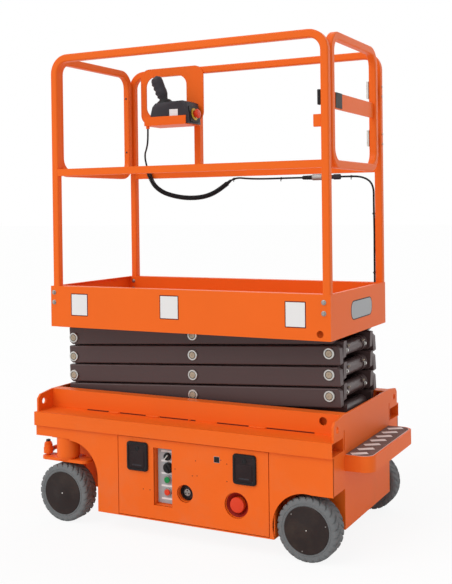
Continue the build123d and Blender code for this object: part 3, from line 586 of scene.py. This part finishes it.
# start, end, radius and finish of the two coupling rings, along the cable
COUPLING_RINGS = ((258.2, 302.8, 12.6, "dull steel"), (352.2, 383, 11.6, "dark"))
KNURLS, KNURL_DEPTH = 48, 0.55
BOOT_START, BOOT_RIBS, RIB_PITCH, CABLE_FIT_R = 213, 5, 8, 4.4
CONNECTOR_BARREL = ((303, 4.5), (303, 8.8), (351, 8.8), (352, 8.2), (352, 4.5))


def make_connector():
    """The in-line connector: a ribbed boot, two knurled coupling rings and a rear nut, turned round
    the cable. A ring's radius is less by the knurl's depth at every other step of its angle."""
    piece = Piece("cable_connector_dressed", "platform")
    spot = Spot((0, RAIL_RUN_Y / MM, 1368.5), (1, 0, 0), (0, 1, 0))
    ribs = [(BOOT_START, CABLE_FIT_R), (BOOT_START, 6.5)]
    for k in range(BOOT_RIBS):
        at = BOOT_START + 3 + k * RIB_PITCH
        ribs += [(at, 7.0 + k * 0.4), (at + 1, 8.6 + k * 0.25), (at + 5, 8.6 + k * 0.25),
                 (at + 6, 7.2 + k * 0.4)]
    ribs += [(COUPLING_RINGS[0][0] - 0.2, 10.0), (COUPLING_RINGS[0][0] - 0.2, CABLE_FIT_R)]
    piece.turned(spot, ribs, "black", 32, closed=True)
    angle = np.arange(KNURLS * 2) * math.pi / KNURLS
    for x0, x1, r, finish in COUPLING_RINGS:
        out = np.array([x0, x0 + 1.2, x0 + 3, x1 - 3, x1 - 1.2, x1])
        base = np.array([r - 4, r - 0.8, r - 0.2, r - 0.2, r - 0.8, r - 4])
        knurled = np.array([0, 0, 1, 1, 0, 0])[:, None] * (np.arange(KNURLS * 2) % 2 == 0)
        radius = base[:, None] - KNURL_DEPTH * knurled
        piece.rings(spot.points(radius * np.cos(angle), radius * np.sin(angle), out[:, None]), finish)
    piece.turned(spot, CONNECTOR_BARREL, "dark", 32, closed=True)
    made = piece.make()
    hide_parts("cable_connector")
    return made


make_cable()


def label(piece, spot, width, height, corner=3, border="maroon", face="white", rim=3.6):
    """A blank plate: a coloured border and, a little prouder, its face."""
    piece.pad(spot, width, height, corner, 0.5, border, 0.15)
    piece.pad(spot, width - 2 * rim, height - 2 * rim, max(corner - rim, 0.8), 0.8, face, 0.15)


# x, z, width and height of the labels; x and z of the bolts
TOE_LABELS = ((-514, 863, 82, 90), (-96, 868, 84, 92), (427, 861.5, 82, 95))
TOE_BOLTS = ((-639, 910), (-639, 870), (536, 908), (536, 869))
POST_BOLT_XS, POST_BOLT_ZS = (-628, GATE_POST_X), (915, 880)
END_PLATE_Y, END_PLATE_Z = 19, 858.5


def make_deck_trim():
    """Blank labels, plates and bolts on the toe boards, and bolts that hold the guard rails' posts."""
    labels = Piece("toe_board_labels", "platform")
    for side in (-1, 1):
        for x, z, w, h in TOE_LABELS:
            label(labels, Spot((x, side * DECK_Y, z), (0, side, 0)), w, h)
    label(labels, Spot((DECK_X1, END_PLATE_Y, END_PLATE_Z), (1, 0, 0)), 236, 72, 30, "black", "silver", 4)
    labels.make()
    bolts = Piece("deck_bolts", "platform")
    for side in (-1, 1):
        for x, z in TOE_BOLTS:
            bolts.bolt(Spot((x, side * DECK_Y, z), (0, side, 0)), 12, 5, True, "dull steel")
        for x, z in itertools.product(POST_BOLT_XS, POST_BOLT_ZS):
            bolts.bolt(Spot((x, side * (DECK_Y - TOE_W), z), (0, -side, 0)), 11, 4, True, "dull steel")
    bolts.make()


TREAD_COUNT_X, TREAD_COUNT_Y = 37, 16
TREAD_EDGE_Y = 268


def make_floor_tread():
    """A tread sheet on the deck floor: raised lozenges in pairs at right angles, each one a short
    ridge with bevelled flanks."""
    floor = Piece("deck_floor_tread", "platform")
    low, high = DECK_X0 + 5, DECK_X1 - 5
    floor.slab((low, -TREAD_EDGE_Y, FLOOR_TOP - 0.5), (high, TREAD_EDGE_Y, FLOOR_TOP + 0.5),
               "floor plate", 0.3)
    side, top = rounded(22, 6, 3, 3)
    across = np.linspace(-TREAD_EDGE_Y + 18, TREAD_EDGE_Y - 18, TREAD_COUNT_Y)
    for i, x in enumerate(np.linspace(low + 20, high - 20, TREAD_COUNT_X)):
        for j, y in enumerate(across):
            lean = math.pi / 4 if (i + j) % 2 else -math.pi / 4
            spot = Spot((x, y, FLOOR_TOP + 0.4), (0, 0, 1), (-math.sin(lean), math.cos(lean), 0))
            ridge = [spot.points(side, top, 0.0), spot.points(side * 0.86, top * 0.55, 1.1)]
            floor.rings(ridge, "floor plate")
    floor.make()


# far edge, half width, corner radius, top, finish: a pale rim under the dark sheet
STEP_SHEETS = ((682.5, 245.5, 38, 364.9, "white"), (681, 244, 37, 365.5, "tread"))
STEP_NEAR_X, SHEET_Z0 = 590, 363.8
STRIPE_X, STRIPE_LONG, STRIPE_WIDE = 630, 60, 26
STRIPE_ACROSS = (0.585, -0.811, 0.0)


def make_step_tread():
    """The entry step's anti-slip sheet with seven slanting white stripes, cut to the step's rounded
    outline: straight sides joined by two quarter circles."""
    tread = Piece("step_tread", "chassis")
    arc = np.linspace(0, math.pi / 2, 10)
    for far_x, half, corner, top, finish in STEP_SHEETS:
        centre_x, centre_y = far_x - corner, half - corner
        x = [[STEP_NEAR_X], centre_x + corner * np.sin(arc), centre_x + corner * np.cos(arc), [STEP_NEAR_X]]
        y = [[-half], -centre_y - corner * np.cos(arc), centre_y + corner * np.sin(arc), [half]]
        x, y = np.concatenate(x), np.concatenate(y)
        tread.rings([np.stack([x, y, np.full(len(x), z)], 1) for z in (SHEET_Z0, top)], finish)
    for y in np.linspace(-217, 205, 7):
        stripe = Spot((STRIPE_X, y, 365.3), (0, 0, 1), STRIPE_ACROSS)
        tread.pad(stripe, STRIPE_LONG, STRIPE_WIDE, 1.0, 0.8, "white", 0.2)
    tread.make()


# out and radius along each turned profile on a pin head
PIN_WASHER = ((-4.6, 20.6), (0.4, 20.6), (1.6, 19.6), (1.6, 14.6), (-4.6, 14.6))
PIN_GROOVE = ((-1, 14.8), (0.5, 14.8), (0.5, 12.6), (-1, 12.6))
PIN_END = ((-1, 12.6), (1.4, 12.6), (2.4, 11.6), (2.4, 3.2), (1.2, 2.4))


def make_pin_ends():
    """On each pin head: a pale washer, a dark groove and the pin's turned end with a grease point."""
    for stage in range(1, STAGES + 1):
        ends = Piece(f"pin_ends_{stage}", f"outer_{stage}")
        low = PIN_Z0 + (stage - 1) * STAGE_RISE
        spots = [("middle", low + STAGE_RISE / 2)]
        if stage > 1:
            spots.append(("left", low))
        if stage < STAGES:
            spots.append(("right", low + STAGE_RISE))
        for name, z in spots:
            for side in (-1, 1):
                spot = Spot((PIN_XS[name], side * PIN_HEAD_Y, z), (0, side, 0))
                ends.turned(spot, PIN_WASHER, "steel", 40, closed=True)
                ends.turned(spot, PIN_GROOVE, "black", 40, closed=True)
                ends.turned(spot, PIN_END, "bronze", 32)
        ends.make()


# out and radius of the clamp ring and of the weld bead on an arm's cross tube
CROSS_TUBE_R = 26.5
CLAMP_RING = ((92, CROSS_TUBE_R), (92, 30), (93, 31), (107, 31), (108, 30), (108, CROSS_TUBE_R))
TUBE_BEAD = ((122, CROSS_TUBE_R), (124, 30), (127, 31.5), (129.5, 30.5), (129.5, CROSS_TUBE_R))
CLAMP_BOLT_Y, CLAMP_REACH = 100, 30.4
NIPPLE_Y, NIPPLE_LEAN = 82, 0.45
NIPPLE = ((-0.5, 4), (3, 4), (4, 2.6), (7, 2.6), (8, 1.6))


def make_arm_fittings():
    """On the outer arms' tube at the entry end: weld beads where it meets the arms, two clamp rings
    with a bolt each, and a grease block with its nipple."""
    for stage in range(1, STAGES + 1):
        fittings = Piece(f"arm_fittings_{stage}", f"outer_{stage}")
        x, z = PIN_XS["right"], PIN_Z0 + stage * STAGE_RISE
        for side in (-1, 1):
            tube = Spot((x, 0, z), (0, side, 0))
            fittings.turned(tube, CLAMP_RING, "arm", 40, closed=True)
            fittings.turned(tube, TUBE_BEAD, "arm", 40, closed=True)
            fittings.bolt(Spot((x + CLAMP_REACH, side * CLAMP_BOLT_Y, z), (1, 0, 0)), 10, 5)
            out = np.array((math.cos(NIPPLE_LEAN), 0, math.sin(NIPPLE_LEAN)))
            head = Spot(np.array((x, side * NIPPLE_Y, z)) + CLAMP_REACH * out, out)
            fittings.pad(head.moved(out=-5), 16, 14, 3, 7, "arm", 1)
            fittings.turned(head.moved(out=2), NIPPLE, "bronze", 16)
        fittings.make()


DISC_R, DISC_HUB_R = 84.5, 30.0
DISC_SCREW_R, DISC_SCREW_ANGLES = 76, (18, 138, 258)


def make_wheels():
    """Tyres with shallow block tread, and flat discs over the hubs."""
    for name, (x, side) in WHEELS.items():
        spot = Spot((x, 0, WHEEL_R), (0, side, 0))
        tyre = Piece(f"tyre_tread_{name}", f"wheel_{name}")
        tyre.rings(tyre_rings(spot), "tyre", closed=True)
        made = tyre.make(50)
        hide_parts(f"tyre_{name}")
        disc = Piece(f"hub_disc_{name}", f"wheel_{name}")
        face = spot.moved(out=TYRE_OUT_Y)
        disc.turned(face, ((-6, DISC_R), (0.6, DISC_R), (2.2, DISC_R - 1.6), (2.2, DISC_HUB_R),
                           (2.6, DISC_HUB_R - 1), (2.6, 2.0)), "hub", 96)
        if name.startswith("rear"):
            for angle in np.radians(DISC_SCREW_ANGLES):
                place = face.moved(DISC_SCREW_R * math.cos(angle), DISC_SCREW_R * math.sin(angle), 2.0)
                disc.screw(place, 2.2, 1.2, "dull steel")
        disc.screw(face.moved(out=2.4), 2.6, 1.4)
        disc.make()


TREAD_SLOTS, STEPS_A_SLOT = 26, 14
TREAD_DEPTH, TREAD_LEAN = 5.0, 0.007      # lean in radians a millimetre
TYRE_CORNER_R, TYRE_BEAD_R = 12.0, 90


def tyre_rings(spot):
    """Rings round the tyre's section: a rounded crown, sidewalls with a fine bead, and the bore.
    Slots across each shoulder lower the radius by a clipped cosine of the angle, which leans with
    the distance from the middle and is half a slot later on the outer side."""
    steps = TREAD_SLOTS * STEPS_A_SLOT
    angle = np.arange(steps) * 2 * math.pi / steps
    arc = np.linspace(0, math.pi / 2, 7)
    crown = np.linspace(TYRE_IN_Y + TYRE_CORNER_R, TYRE_OUT_Y - TYRE_CORNER_R, 12)[1:-1]
    bead_in = np.array([0, 1.2, 1.2, 0])      # how far the sidewall dips
    bead_r = TYRE_BEAD_R + np.array([0, 1, 4, 5])
    out = np.concatenate([[TYRE_IN_Y + 1, TYRE_IN_Y], TYRE_IN_Y + bead_in,
                          TYRE_IN_Y + TYRE_CORNER_R * (1 - np.cos(arc)), crown,
                          TYRE_OUT_Y - TYRE_CORNER_R * (1 - np.sin(arc)),
                          TYRE_OUT_Y - bead_in, [TYRE_OUT_Y, TYRE_OUT_Y - 1]])
    radius = np.concatenate([[TYRE_BORE_R, TYRE_BORE_R + 1], bead_r,
                             WHEEL_R - TYRE_CORNER_R * (1 - np.sin(arc)), np.full(len(crown), WHEEL_R),
                             WHEEL_R - TYRE_CORNER_R * (1 - np.cos(arc)),
                             bead_r[::-1], [TYRE_BORE_R + 1, TYRE_BORE_R]])
    radius = np.minimum(radius, WHEEL_R - 0.05)[:, None]
    middle = (TYRE_IN_Y + TYRE_OUT_Y) / 2
    from_middle = np.abs(out - middle)[:, None]
    phase = np.where(out < middle, 0.0, math.pi)[:, None]
    wave = np.cos(TREAD_SLOTS * (angle[None] + from_middle * TREAD_LEAN) + phase)
    slot = np.clip((wave - 0.62) / 0.20, 0, 1)
    shoulder = np.clip((from_middle - 5) / 4, 0, 1) * (radius > TYRE_BEAD_R + 9)
    reach = radius - TREAD_DEPTH * slot * shoulder
    return spot.points(reach * np.cos(angle), reach * np.sin(angle), out[:, None])


LATCH_XS, LATCH_Z = (-204, 251), 303
# width, height, corner radius and height out of the rim's four edges
LATCH_RIM = ((90, 107, 13, -1), (88, 105, 12, 2.4), (76, 93, 9, 2.4), (74, 91, 8, -1))
LATCH_LOCK = ((-1, 9), (1.8, 9), (2.2, 8), (2.2, 5.6), (1.4, 5.2), (1.4, 1))
LATCH_SCREWS = tuple(itertools.product((-34, 34), (-42, 42)))


def make_latches():
    """Paddle latches: a rim round the latch plate, a dished paddle, a lock barrel and four screws."""
    for name, side in (("near", -1), ("far", 1)):
        latch = Piece(f"latch_paddles_{name}", f"door_{name}")
        for x in LATCH_XS:
            spot = Spot((x, side * LATCH_Y, LATCH_Z), (0, side, 0))
            rim = [spot.points(*rounded(w, h, c), out) for w, h, c, out in LATCH_RIM]
            latch.rings(rim, "black", closed=True)
            latch.pad(spot.moved(up=-12), 62, 58, 6, 1.8, "latch", 0.8)
            latch.pad(spot.moved(up=-33), 42, 5, 2, 2.6, "dark", 0.6)
            latch.turned(spot.moved(up=30), LATCH_LOCK, "black", 28)
            latch.pad(spot.moved(up=30, out=1), 2, 6, 0.6, 1.2, "dark", 0.2)
            for beside, above in LATCH_SCREWS:
                latch.screw(spot.moved(beside, above), 2.2, 1.0, "dark")
        latch.make()


# The lower controls: where the panel's faces, switches and signs stand
PANEL_FACE_Y = -344.4
PANEL_PLATE = (-93, 233, 74, 208)      # x, z, width, height
SIGN_ZS = (327, 290, 243, 196, 147)
PLATE_SCREWS = tuple(itertools.product((-122, -62), (132, 336)))
KEY_PROFILE = ((-10, 14.5), (-3, 14.5), (0.6, 13.4), (1.2, 12.2), (1.2, 4))
KNOB_PROFILE = ((-14, 20), (-4, 20), (-4, 16.6), (0.8, 16.4), (1.6, 15), (1.6, 3))
BUTTON_RING = ((-9, 15.5), (-4, 15.5), (-3, 14.6), (-3, 11.8), (-9, 11.8))
BUTTON_CAP = ((-9, 11.6), (0.4, 11.6), (1.6, 10.4), (2.0, 8.0), (2.0, 2))
STOP_BOWL = ((-23.5, 44.6), (-6, 44.6), (-6, 43.4), (-20, 31), (-22, 27), (-23.5, 27))
STOP_BUTTON = ((-20, 18), (-9, 18), (-8, 27.8), (-2.4, 28.6), (0.6, 26.6), (1.8, 20), (2.2, 3))
SOCKET_COLLAR = ((0.2, 30), (6, 30), (7, 28), (7, 23), (2, 21.5), (0.2, 21.5))
SOCKET_PIN_R = 7


def make_control_panel():
    """Lower controls: a silver plate with key switch, knob and two buttons, the emergency stop's
    bowl and button, and the charging socket."""
    panel = Piece("lower_control_panel", "chassis")

    def place(x, y, z):
        return Spot((x, y, z), (0, -1, 0))

    x, z, width, height = PANEL_PLATE
    panel.pad(place(x, PANEL_FACE_Y, z), width, height, 3, 1.6, "silver", 0.5)
    for z in SIGN_ZS:
        panel.pad(place(-90, PANEL_FACE_Y - 1.6, z), 50, 7, 1.5, 0.4, "white", 0.1)
    key = place(-86, -356, 308)
    panel.turned(key, KEY_PROFILE, "black", 32)
    panel.pad(key.moved(out=1.0).rolled(40), 4, 22, 1, 6.0, "steel", 0.4)
    knob = place(-82, -360, 266)
    panel.turned(knob, KNOB_PROFILE, "black", 32)
    panel.pad(knob.moved(out=1.0).rolled(-30), 8, 31, 2.4, 5.0, "black", 0.8)
    for z, finish in ((220, "green"), (173, "red")):
        button = place(-87, -354, z)
        panel.turned(button, BUTTON_RING, "dull steel", 32, closed=True)
        panel.turned(button, BUTTON_CAP, finish, 32)
    for x, z in PLATE_SCREWS:
        panel.screw(place(x, PANEL_FACE_Y - 1.4, z), 2.4, 1.2)
    stop = place(STOP_CENTRE[0], -368, STOP_CENTRE[1])
    panel.turned(stop, STOP_BOWL, "bowl", 56, closed=True)
    panel.turned(stop, STOP_BUTTON, "red", 48)
    socket = place(1, -344, 184)
    panel.turned(socket, SOCKET_COLLAR, "black", 40, closed=True)
    panel.turned(socket, ((0.2, 21.2), (2, 21.2), (2, 3)), "dark", 32)
    panel.turned(socket, ((1.8, 13.5), (8, 13.5), (9, 12.5), (9, 3)), "dull steel", 32)
    for angle in np.radians((90, 210, 330)):
        pin = socket.moved(SOCKET_PIN_R * math.cos(angle), SOCKET_PIN_R * math.sin(angle), 8.8)
        panel.turned(pin, ((0, 2.2), (2.5, 2.2), (3, 1.4)), "black", 12)
    panel.make()


# x and z of the rivets and of the window's centre
DOOR_RIVETS = ((-181, 180), (-151, 180), (-40, 272), (48, 312), (34, 255), (54, 257), (178, 315),
               (178, 251))
DOOR_WINDOW = (137, 326)


def make_door_rivets():
    """Small painted rivets on the near door, and a dark window in a pale frame beside the second latch."""
    trim = Piece("door_rivets", "door_near")
    for x, z in DOOR_RIVETS:
        trim.screw(Spot((x, -PANEL_Y, z), (0, -1, 0)), 2.0, 0.8, "maroon")
    window = Spot((DOOR_WINDOW[0], -PANEL_Y, DOOR_WINDOW[1]), (0, -1, 0))
    trim.pad(window, 24, 23, 1.5, 0.7, "dull steel", 0.2)
    trim.pad(window, 21, 20, 1.0, 1.0, "black", 0.2)
    trim.screw(window.moved(side=17), 1.8, 0.8, "dark")
    trim.make()


HINGE_ZS = (1516, 1708)
CORNER_BOLT_ZS = (1750, 1505)


def make_gate_trim():
    """The gate's black wear pad, the striker on the post, and the hinges' and rails' screws."""
    gate = Piece("gate_latch", "gate")
    gate.pad(Spot((551, -176, 1628), (1, 0, 0)), 64, 56, 2, 2.0, "black", 0.5)
    for z, y, dz in itertools.product(HINGE_ZS, (222, 240), (-18, 18)):
        gate.bolt(Spot((523, y, z + dz), (-1, 0, 0), (0, 0, 1)), 7, 3, False)
    gate.make()
    posts = Piece("gate_striker", "platform")
    posts.slab((519, -305, 1604), (530.6, -287, 1658), "black", 1.5)
    posts.slab((500, -298, 1528), (530.6, -284, 1572), "orange", 1.5)
    for z, dz in itertools.product(HINGE_ZS, (-20, 20)):
        posts.bolt(Spot((561, POST_Y, z + dz), (1, 0, 0)), 9, 4, False)
    posts.make()
    corner = Piece("rail_corner_bolts", "platform")
    for side, z in itertools.product((-1, 1), CORNER_BOLT_ZS):
        corner.screw(Spot((-639, side * (274 - RAIL), z), (0, -side, 0)), 4.5, 2.4, "dark")
    corner.make()


# The platform control box, x and z of its outline, and y and size of its sections
BOX_MIDDLE = np.array((-355, 1662.0))
BOX_OUTLINE = np.array([(-448, 1614), (-454, 1640), (-449, 1664), (-441, 1692), (-425, 1708),
                        (-360, 1712), (-290, 1714), (-270, 1706), (-262, 1660), (-257, 1614)], float)
BOX_SECTIONS = ((146, 0.93), (149, 0.985), (154, 1.0), (254, 1.0), (259, 0.985), (262, 0.93))
BOX_STOP_RING = ((-2, 27), (4.2, 27), (5.0, 26), (5.0, 16), (-2, 16))
BOX_STOP_BUTTON = ((0, 13), (15, 13), (15, 20), (22, 20), (25, 17), (26, 11), (26, 3))
BOX_SWITCH = ((-2, 9), (2.2, 9), (3, 8), (3, 5), (4.2, 4.6), (4.2, 1))
# distance along the grip and its radius there
GRIP_LEAN = (-0.40, 0.0, 0.916)
GRIP_WIDTHS = ((-8, 16), (4, 17), (14, 20), (26, 25), (40, 27), (56, 26), (72, 26.5), (88, 27),
               (102, 26), (110, 22), (114, 14))
GRIP_DEPTH_SHARE = 0.84
RIDGE_START, RIDGE_END, RIDGE_PITCH, RIDGE_HEIGHT = 22, 96, 22, 2.2
STICK_Y = 204


def make_control_box():
    """The platform control box: a rounded shell, a joystick on a ribbed boot, a red stop button in a
    yellow ring, and switches. The grip's radius follows a list of widths, plus a cosine of the
    distance along it that makes shallow finger ridges on its left side."""
    box = Piece("control_box_dressed", "platform")
    rings = []
    for y, grow in BOX_SECTIONS:
        ring = BOX_MIDDLE + (BOX_OUTLINE - BOX_MIDDLE) * grow
        rings.append(np.stack([ring[:, 0], np.full(len(ring), y), ring[:, 1]], 1))
    box.rings(rings, "dark")
    box.pad(Spot((-330, BOX_SECTIONS[0][0], 1662), (0, -1, 0)), 42, 30, 2, 1.0, "white", 0.2)
    end = Spot((-261, STICK_Y, 1655), (0.989, 0, 0.148))
    box.pad(end, 84, 70, 8, 3.0, "black", 1.0)
    box.turned(end, BOX_STOP_RING, "yellow", 36, closed=True)
    box.turned(end, BOX_STOP_BUTTON, "red", 36)
    boot = Spot((-405, STICK_Y, 1706), (0, 0, 1), (0, 1, 0))
    profile = [(-6, 44), (3, 44), (5, 42)]
    for k, r in enumerate((39, 35, 31, 27)):
        profile += [(6 + k * 4, r), (8 + k * 4, r - 0.5), (9 + k * 4, r - 3)]
    profile += [(24, 20)]
    box.turned(boot, profile, "black", 40)
    grip = Spot((-409, STICK_Y, 1724), GRIP_LEAN, (0, 1, 0))
    along, wide = np.array(GRIP_WIDTHS, float).T
    fine = np.linspace(along[0], along[-1], 64)
    wide = np.interp(fine, along, wide)
    angle = np.arange(40) * 2 * math.pi / 40
    ridged = (fine > RIDGE_START) * (fine < RIDGE_END)
    ridge = RIDGE_HEIGHT * np.cos(fine * 2 * math.pi / RIDGE_PITCH) * ridged
    radius = wide[:, None] + ridge[:, None] * np.clip(-np.cos(angle), 0, 1)[None]
    rings = grip.points(radius * np.cos(angle), radius * GRIP_DEPTH_SHARE * np.sin(angle), fine[:, None])
    box.rings(rings, "dark")
    box.turned(grip.moved(side=4, out=112), ((0, 9), (4, 9), (5.4, 7.2), (5.4, 1)), "black", 24)
    for x, finish in ((-346, "yellow"), (-316, "green")):
        for y in (172, 236):
            switch = Spot((x, y, 1711), (0, 0, 1), (0, 1, 0))
            box.turned(switch, BOX_SWITCH, finish if y > STICK_Y else "black", 24)
    made = box.make()
    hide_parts("control_box")


TIE_ROD_X, TIE_ROD_Z, BALL_Y, BALL_Z = -665, 268, 325, 279
LOCK_NUT_YS = (300, 180)
BALL_COLLAR = ((-0.5, 8.6), (-0.5, 17), (11, 17), (13, 15), (13, 8.6))
BALL_BOOT = ((-0.5, 15), (1.5, 17), (4, 14), (6, 15.4), (9, 12), (12, 10), (12, 8.5))
LOCK_NUT = ((-5, 9.2), (-5, 12), (5, 12), (5, 9.2))


def make_steering_trim():
    """Ball joints on the tie rod's ends: a painted collar, a ribbed boot and a nut; lock nuts along
    the rod."""
    rod = Piece("tie_rod_boots", "tie_rod")
    for side in (-1, 1):
        spot = Spot((TIE_ROD_X, side * BALL_Y, BALL_Z), (0, 0, 1), (0, 1, 0))
        rod.turned(spot, BALL_COLLAR, "orange", 32, closed=True)
        rod.turned(spot.moved(out=13), BALL_BOOT, "orange", 28)
        rod.bolt(spot.moved(out=24.5), 17, 8, False, "dark")
        for y in LOCK_NUT_YS:
            nut = Spot((TIE_ROD_X, side * y, TIE_ROD_Z), (0, 1, 0))
            rod.turned(nut, LOCK_NUT, "dull steel", 6, closed=True)
    rod.make()


# where each slit in the ledge starts and ends along x; a tab fills a short gap between two
SLITS = ((-510, -405), (-352, -231), (-168, -40), (-30, -8), (84, 218), (290, 480))
SLIT_Z0, SLIT_Z1 = 432.6, 436.8
LONGEST_TAB = 80
LUG_BEAD_XS = (-682, 580)
RETURN_LOW, RETURN_HIGH = (583, 254.5, 244), (589, 371.9, 378.5)
PIVOT_SLEEVE = ((0, 15.4), (0, 27.4), (261.2, 27.4), (261.2, 15.4))


def make_chassis_trim():
    """Dark slabs in the ledge's slits, painted shade for the shadow inside them; tabs between them,
    weld beads at the lugs, return plates beside the rear end wall, and a sleeve over the arms' fixed pivot."""
    trim = Piece("chassis_welds_and_slit_shade", "chassis")
    for side in (-1, 1):
        for x0, x1 in SLITS:
            # painted shade: a dark slab in each slit stands in for the shadow inside the ledge
            low, high = (x0 + 1, side * (WEB_Y - 2.5), SLIT_Z0), (x1 - 1, side * (WEB_Y + 0.3), SLIT_Z1)
            trim.slab(low, high, "maroon", 0.4)
        for (_, x0), (x1, _) in itertools.pairwise(SLITS):
            if x1 - x0 < LONGEST_TAB:
                low, high = (x0 + 2, side * (WEB_Y - 1), 431.5), (x1 - 2, side * (WEB_Y + 8), 437.0)
                trim.slab(low, high, "orange", 2.0)
        for x in LUG_BEAD_XS:
            bead = np.stack([np.full(24, x), side * np.linspace(272, 358, 24), np.full(24, 432.8)], 1)
            trim.tube(bead, 2.4, "orange", 8, (1, 0, 0))
        low, high = np.multiply((RETURN_LOW, RETURN_HIGH), (1, side, 1))
        trim.slab(low, high, "orange", 0.8)
    pivot = Spot((PIN_XS["right"], -130.6, PIN_Z0), (0, 1, 0))
    trim.turned(pivot, PIVOT_SLEEVE, "arm", 40, closed=True)
    trim.make()


BATTERY_X0, BATTERY_PITCH, BATTERY_YS = -246, 129, (14, 184)
BATTERY_LONG, BATTERY_WIDE, LID_Z0, LID_Z1 = 123, 164, 299, 312
FILLER_CAP = ((-1, 12), (4, 12), (6, 10), (6, 2))
TERMINAL = ((-1, 8), (10, 7.2), (11, 6), (11, 1))


def make_battery_lids():
    """A lid on each battery, with three filler caps and two terminals."""
    battery = Piece("battery_lids", "chassis")
    for i, y0 in itertools.product(range(4), BATTERY_YS):
        x0 = BATTERY_X0 + i * BATTERY_PITCH
        battery.slab((x0, y0, LID_Z0), (x0 + BATTERY_LONG, y0 + BATTERY_WIDE, LID_Z1), "dark", 3)
        for x in (24, 61, 98):
            cap = Spot((x0 + x, y0 + 50, LID_Z1), (0, 0, 1), (0, 1, 0))
            battery.turned(cap, FILLER_CAP, "yellow", 20)
        for x, finish in ((18, "red"), (105, "black")):
            terminal = Spot((x0 + x, y0 + 140, LID_Z1), (0, 0, 1), (0, 1, 0))
            battery.turned(terminal, TERMINAL, finish, 20)
    battery.make()


make_deck_trim()
make_floor_tread()
make_step_tread()
make_pin_ends()
make_arm_fittings()
make_wheels()
make_latches()
make_control_panel()
make_door_rivets()
make_gate_trim()
make_control_box()
make_steering_trim()
make_chassis_trim()
make_battery_lids()


# name, the way to the lamp, strength, spread in degrees
LAMPS = (("key lamp", (-2.2, -4.0, 4.6), 1.45, 50), ("fill lamp", (4.5, -2.4, 2.4), 0.06, 70),
         ("rear lamp", (0.5, 4.0, 3.0), 0.50, 70))
FLOOR_HALF, FLOOR_Z = 60.0, -0.0005
FLOOR_WHITE_SHARE = 0.90      # of what the camera sees, the rest being shadow
AROUND_LIGHT = 0.55


def make_floor():
    """A wide pale floor, mixed with plain white where the camera sees it."""
    corners = [(x * FLOOR_HALF, y * FLOOR_HALF, FLOOR_Z) for x, y in ((-1, -1), (1, -1), (1, 1), (-1, 1))]
    mesh = bpy.data.meshes.new("studio_floor")
    mesh.from_pydata(corners, [], [(0, 1, 2, 3)])
    floor = bpy.data.objects.new("studio_floor", mesh)
    bpy.context.scene.collection.objects.link(floor)
    finish = Finish("studio floor")
    mesh.materials.append(finish.set(base=(0.90, 0.90, 0.90), rough=0.9, specular=0.0))
    glow = finish.node("ShaderNodeEmission", {}, {"Strength": 1.0})
    matt = Term(finish, finish.shader.outputs[0])
    share = finish.ray("Camera") * FLOOR_WHITE_SHARE
    mixed = finish.node("ShaderNodeMixShader", {}, {0: share, 1: matt, 2: glow})
    finish.feed(finish.tree.nodes["Material Output"].inputs["Surface"], mixed)


def make_surround():
    """An even surround: white for the camera, for reflections and through glass, softer as a light."""
    world = bpy.data.worlds.new("studio")
    bpy.context.scene.world = world
    world.use_nodes = True
    sky = Nodes(world.node_tree)
    seen = sky.ray("Camera").larger(sky.ray("Transmission")).larger(sky.ray("Glossy"))
    ground = world.node_tree.nodes["Background"]
    sky.feed(ground.inputs["Color"], (1, 1, 1, 1))
    sky.feed(ground.inputs["Strength"], AROUND_LIGHT + seen * (1.0 - AROUND_LIGHT))


def make_lamps():
    for name, place, strength, spread in LAMPS:
        data = bpy.data.lights.new(name, "SUN")
        data.energy = strength
        data.angle = math.radians(spread)
        lamp = bpy.data.objects.new(name, data)
        bpy.context.scene.collection.objects.link(lamp)
        lamp.rotation_mode = "QUATERNION"
        lamp.rotation_quaternion = Vector(place).to_track_quat("Z", "Y")


make_floor()
make_surround()
make_lamps()
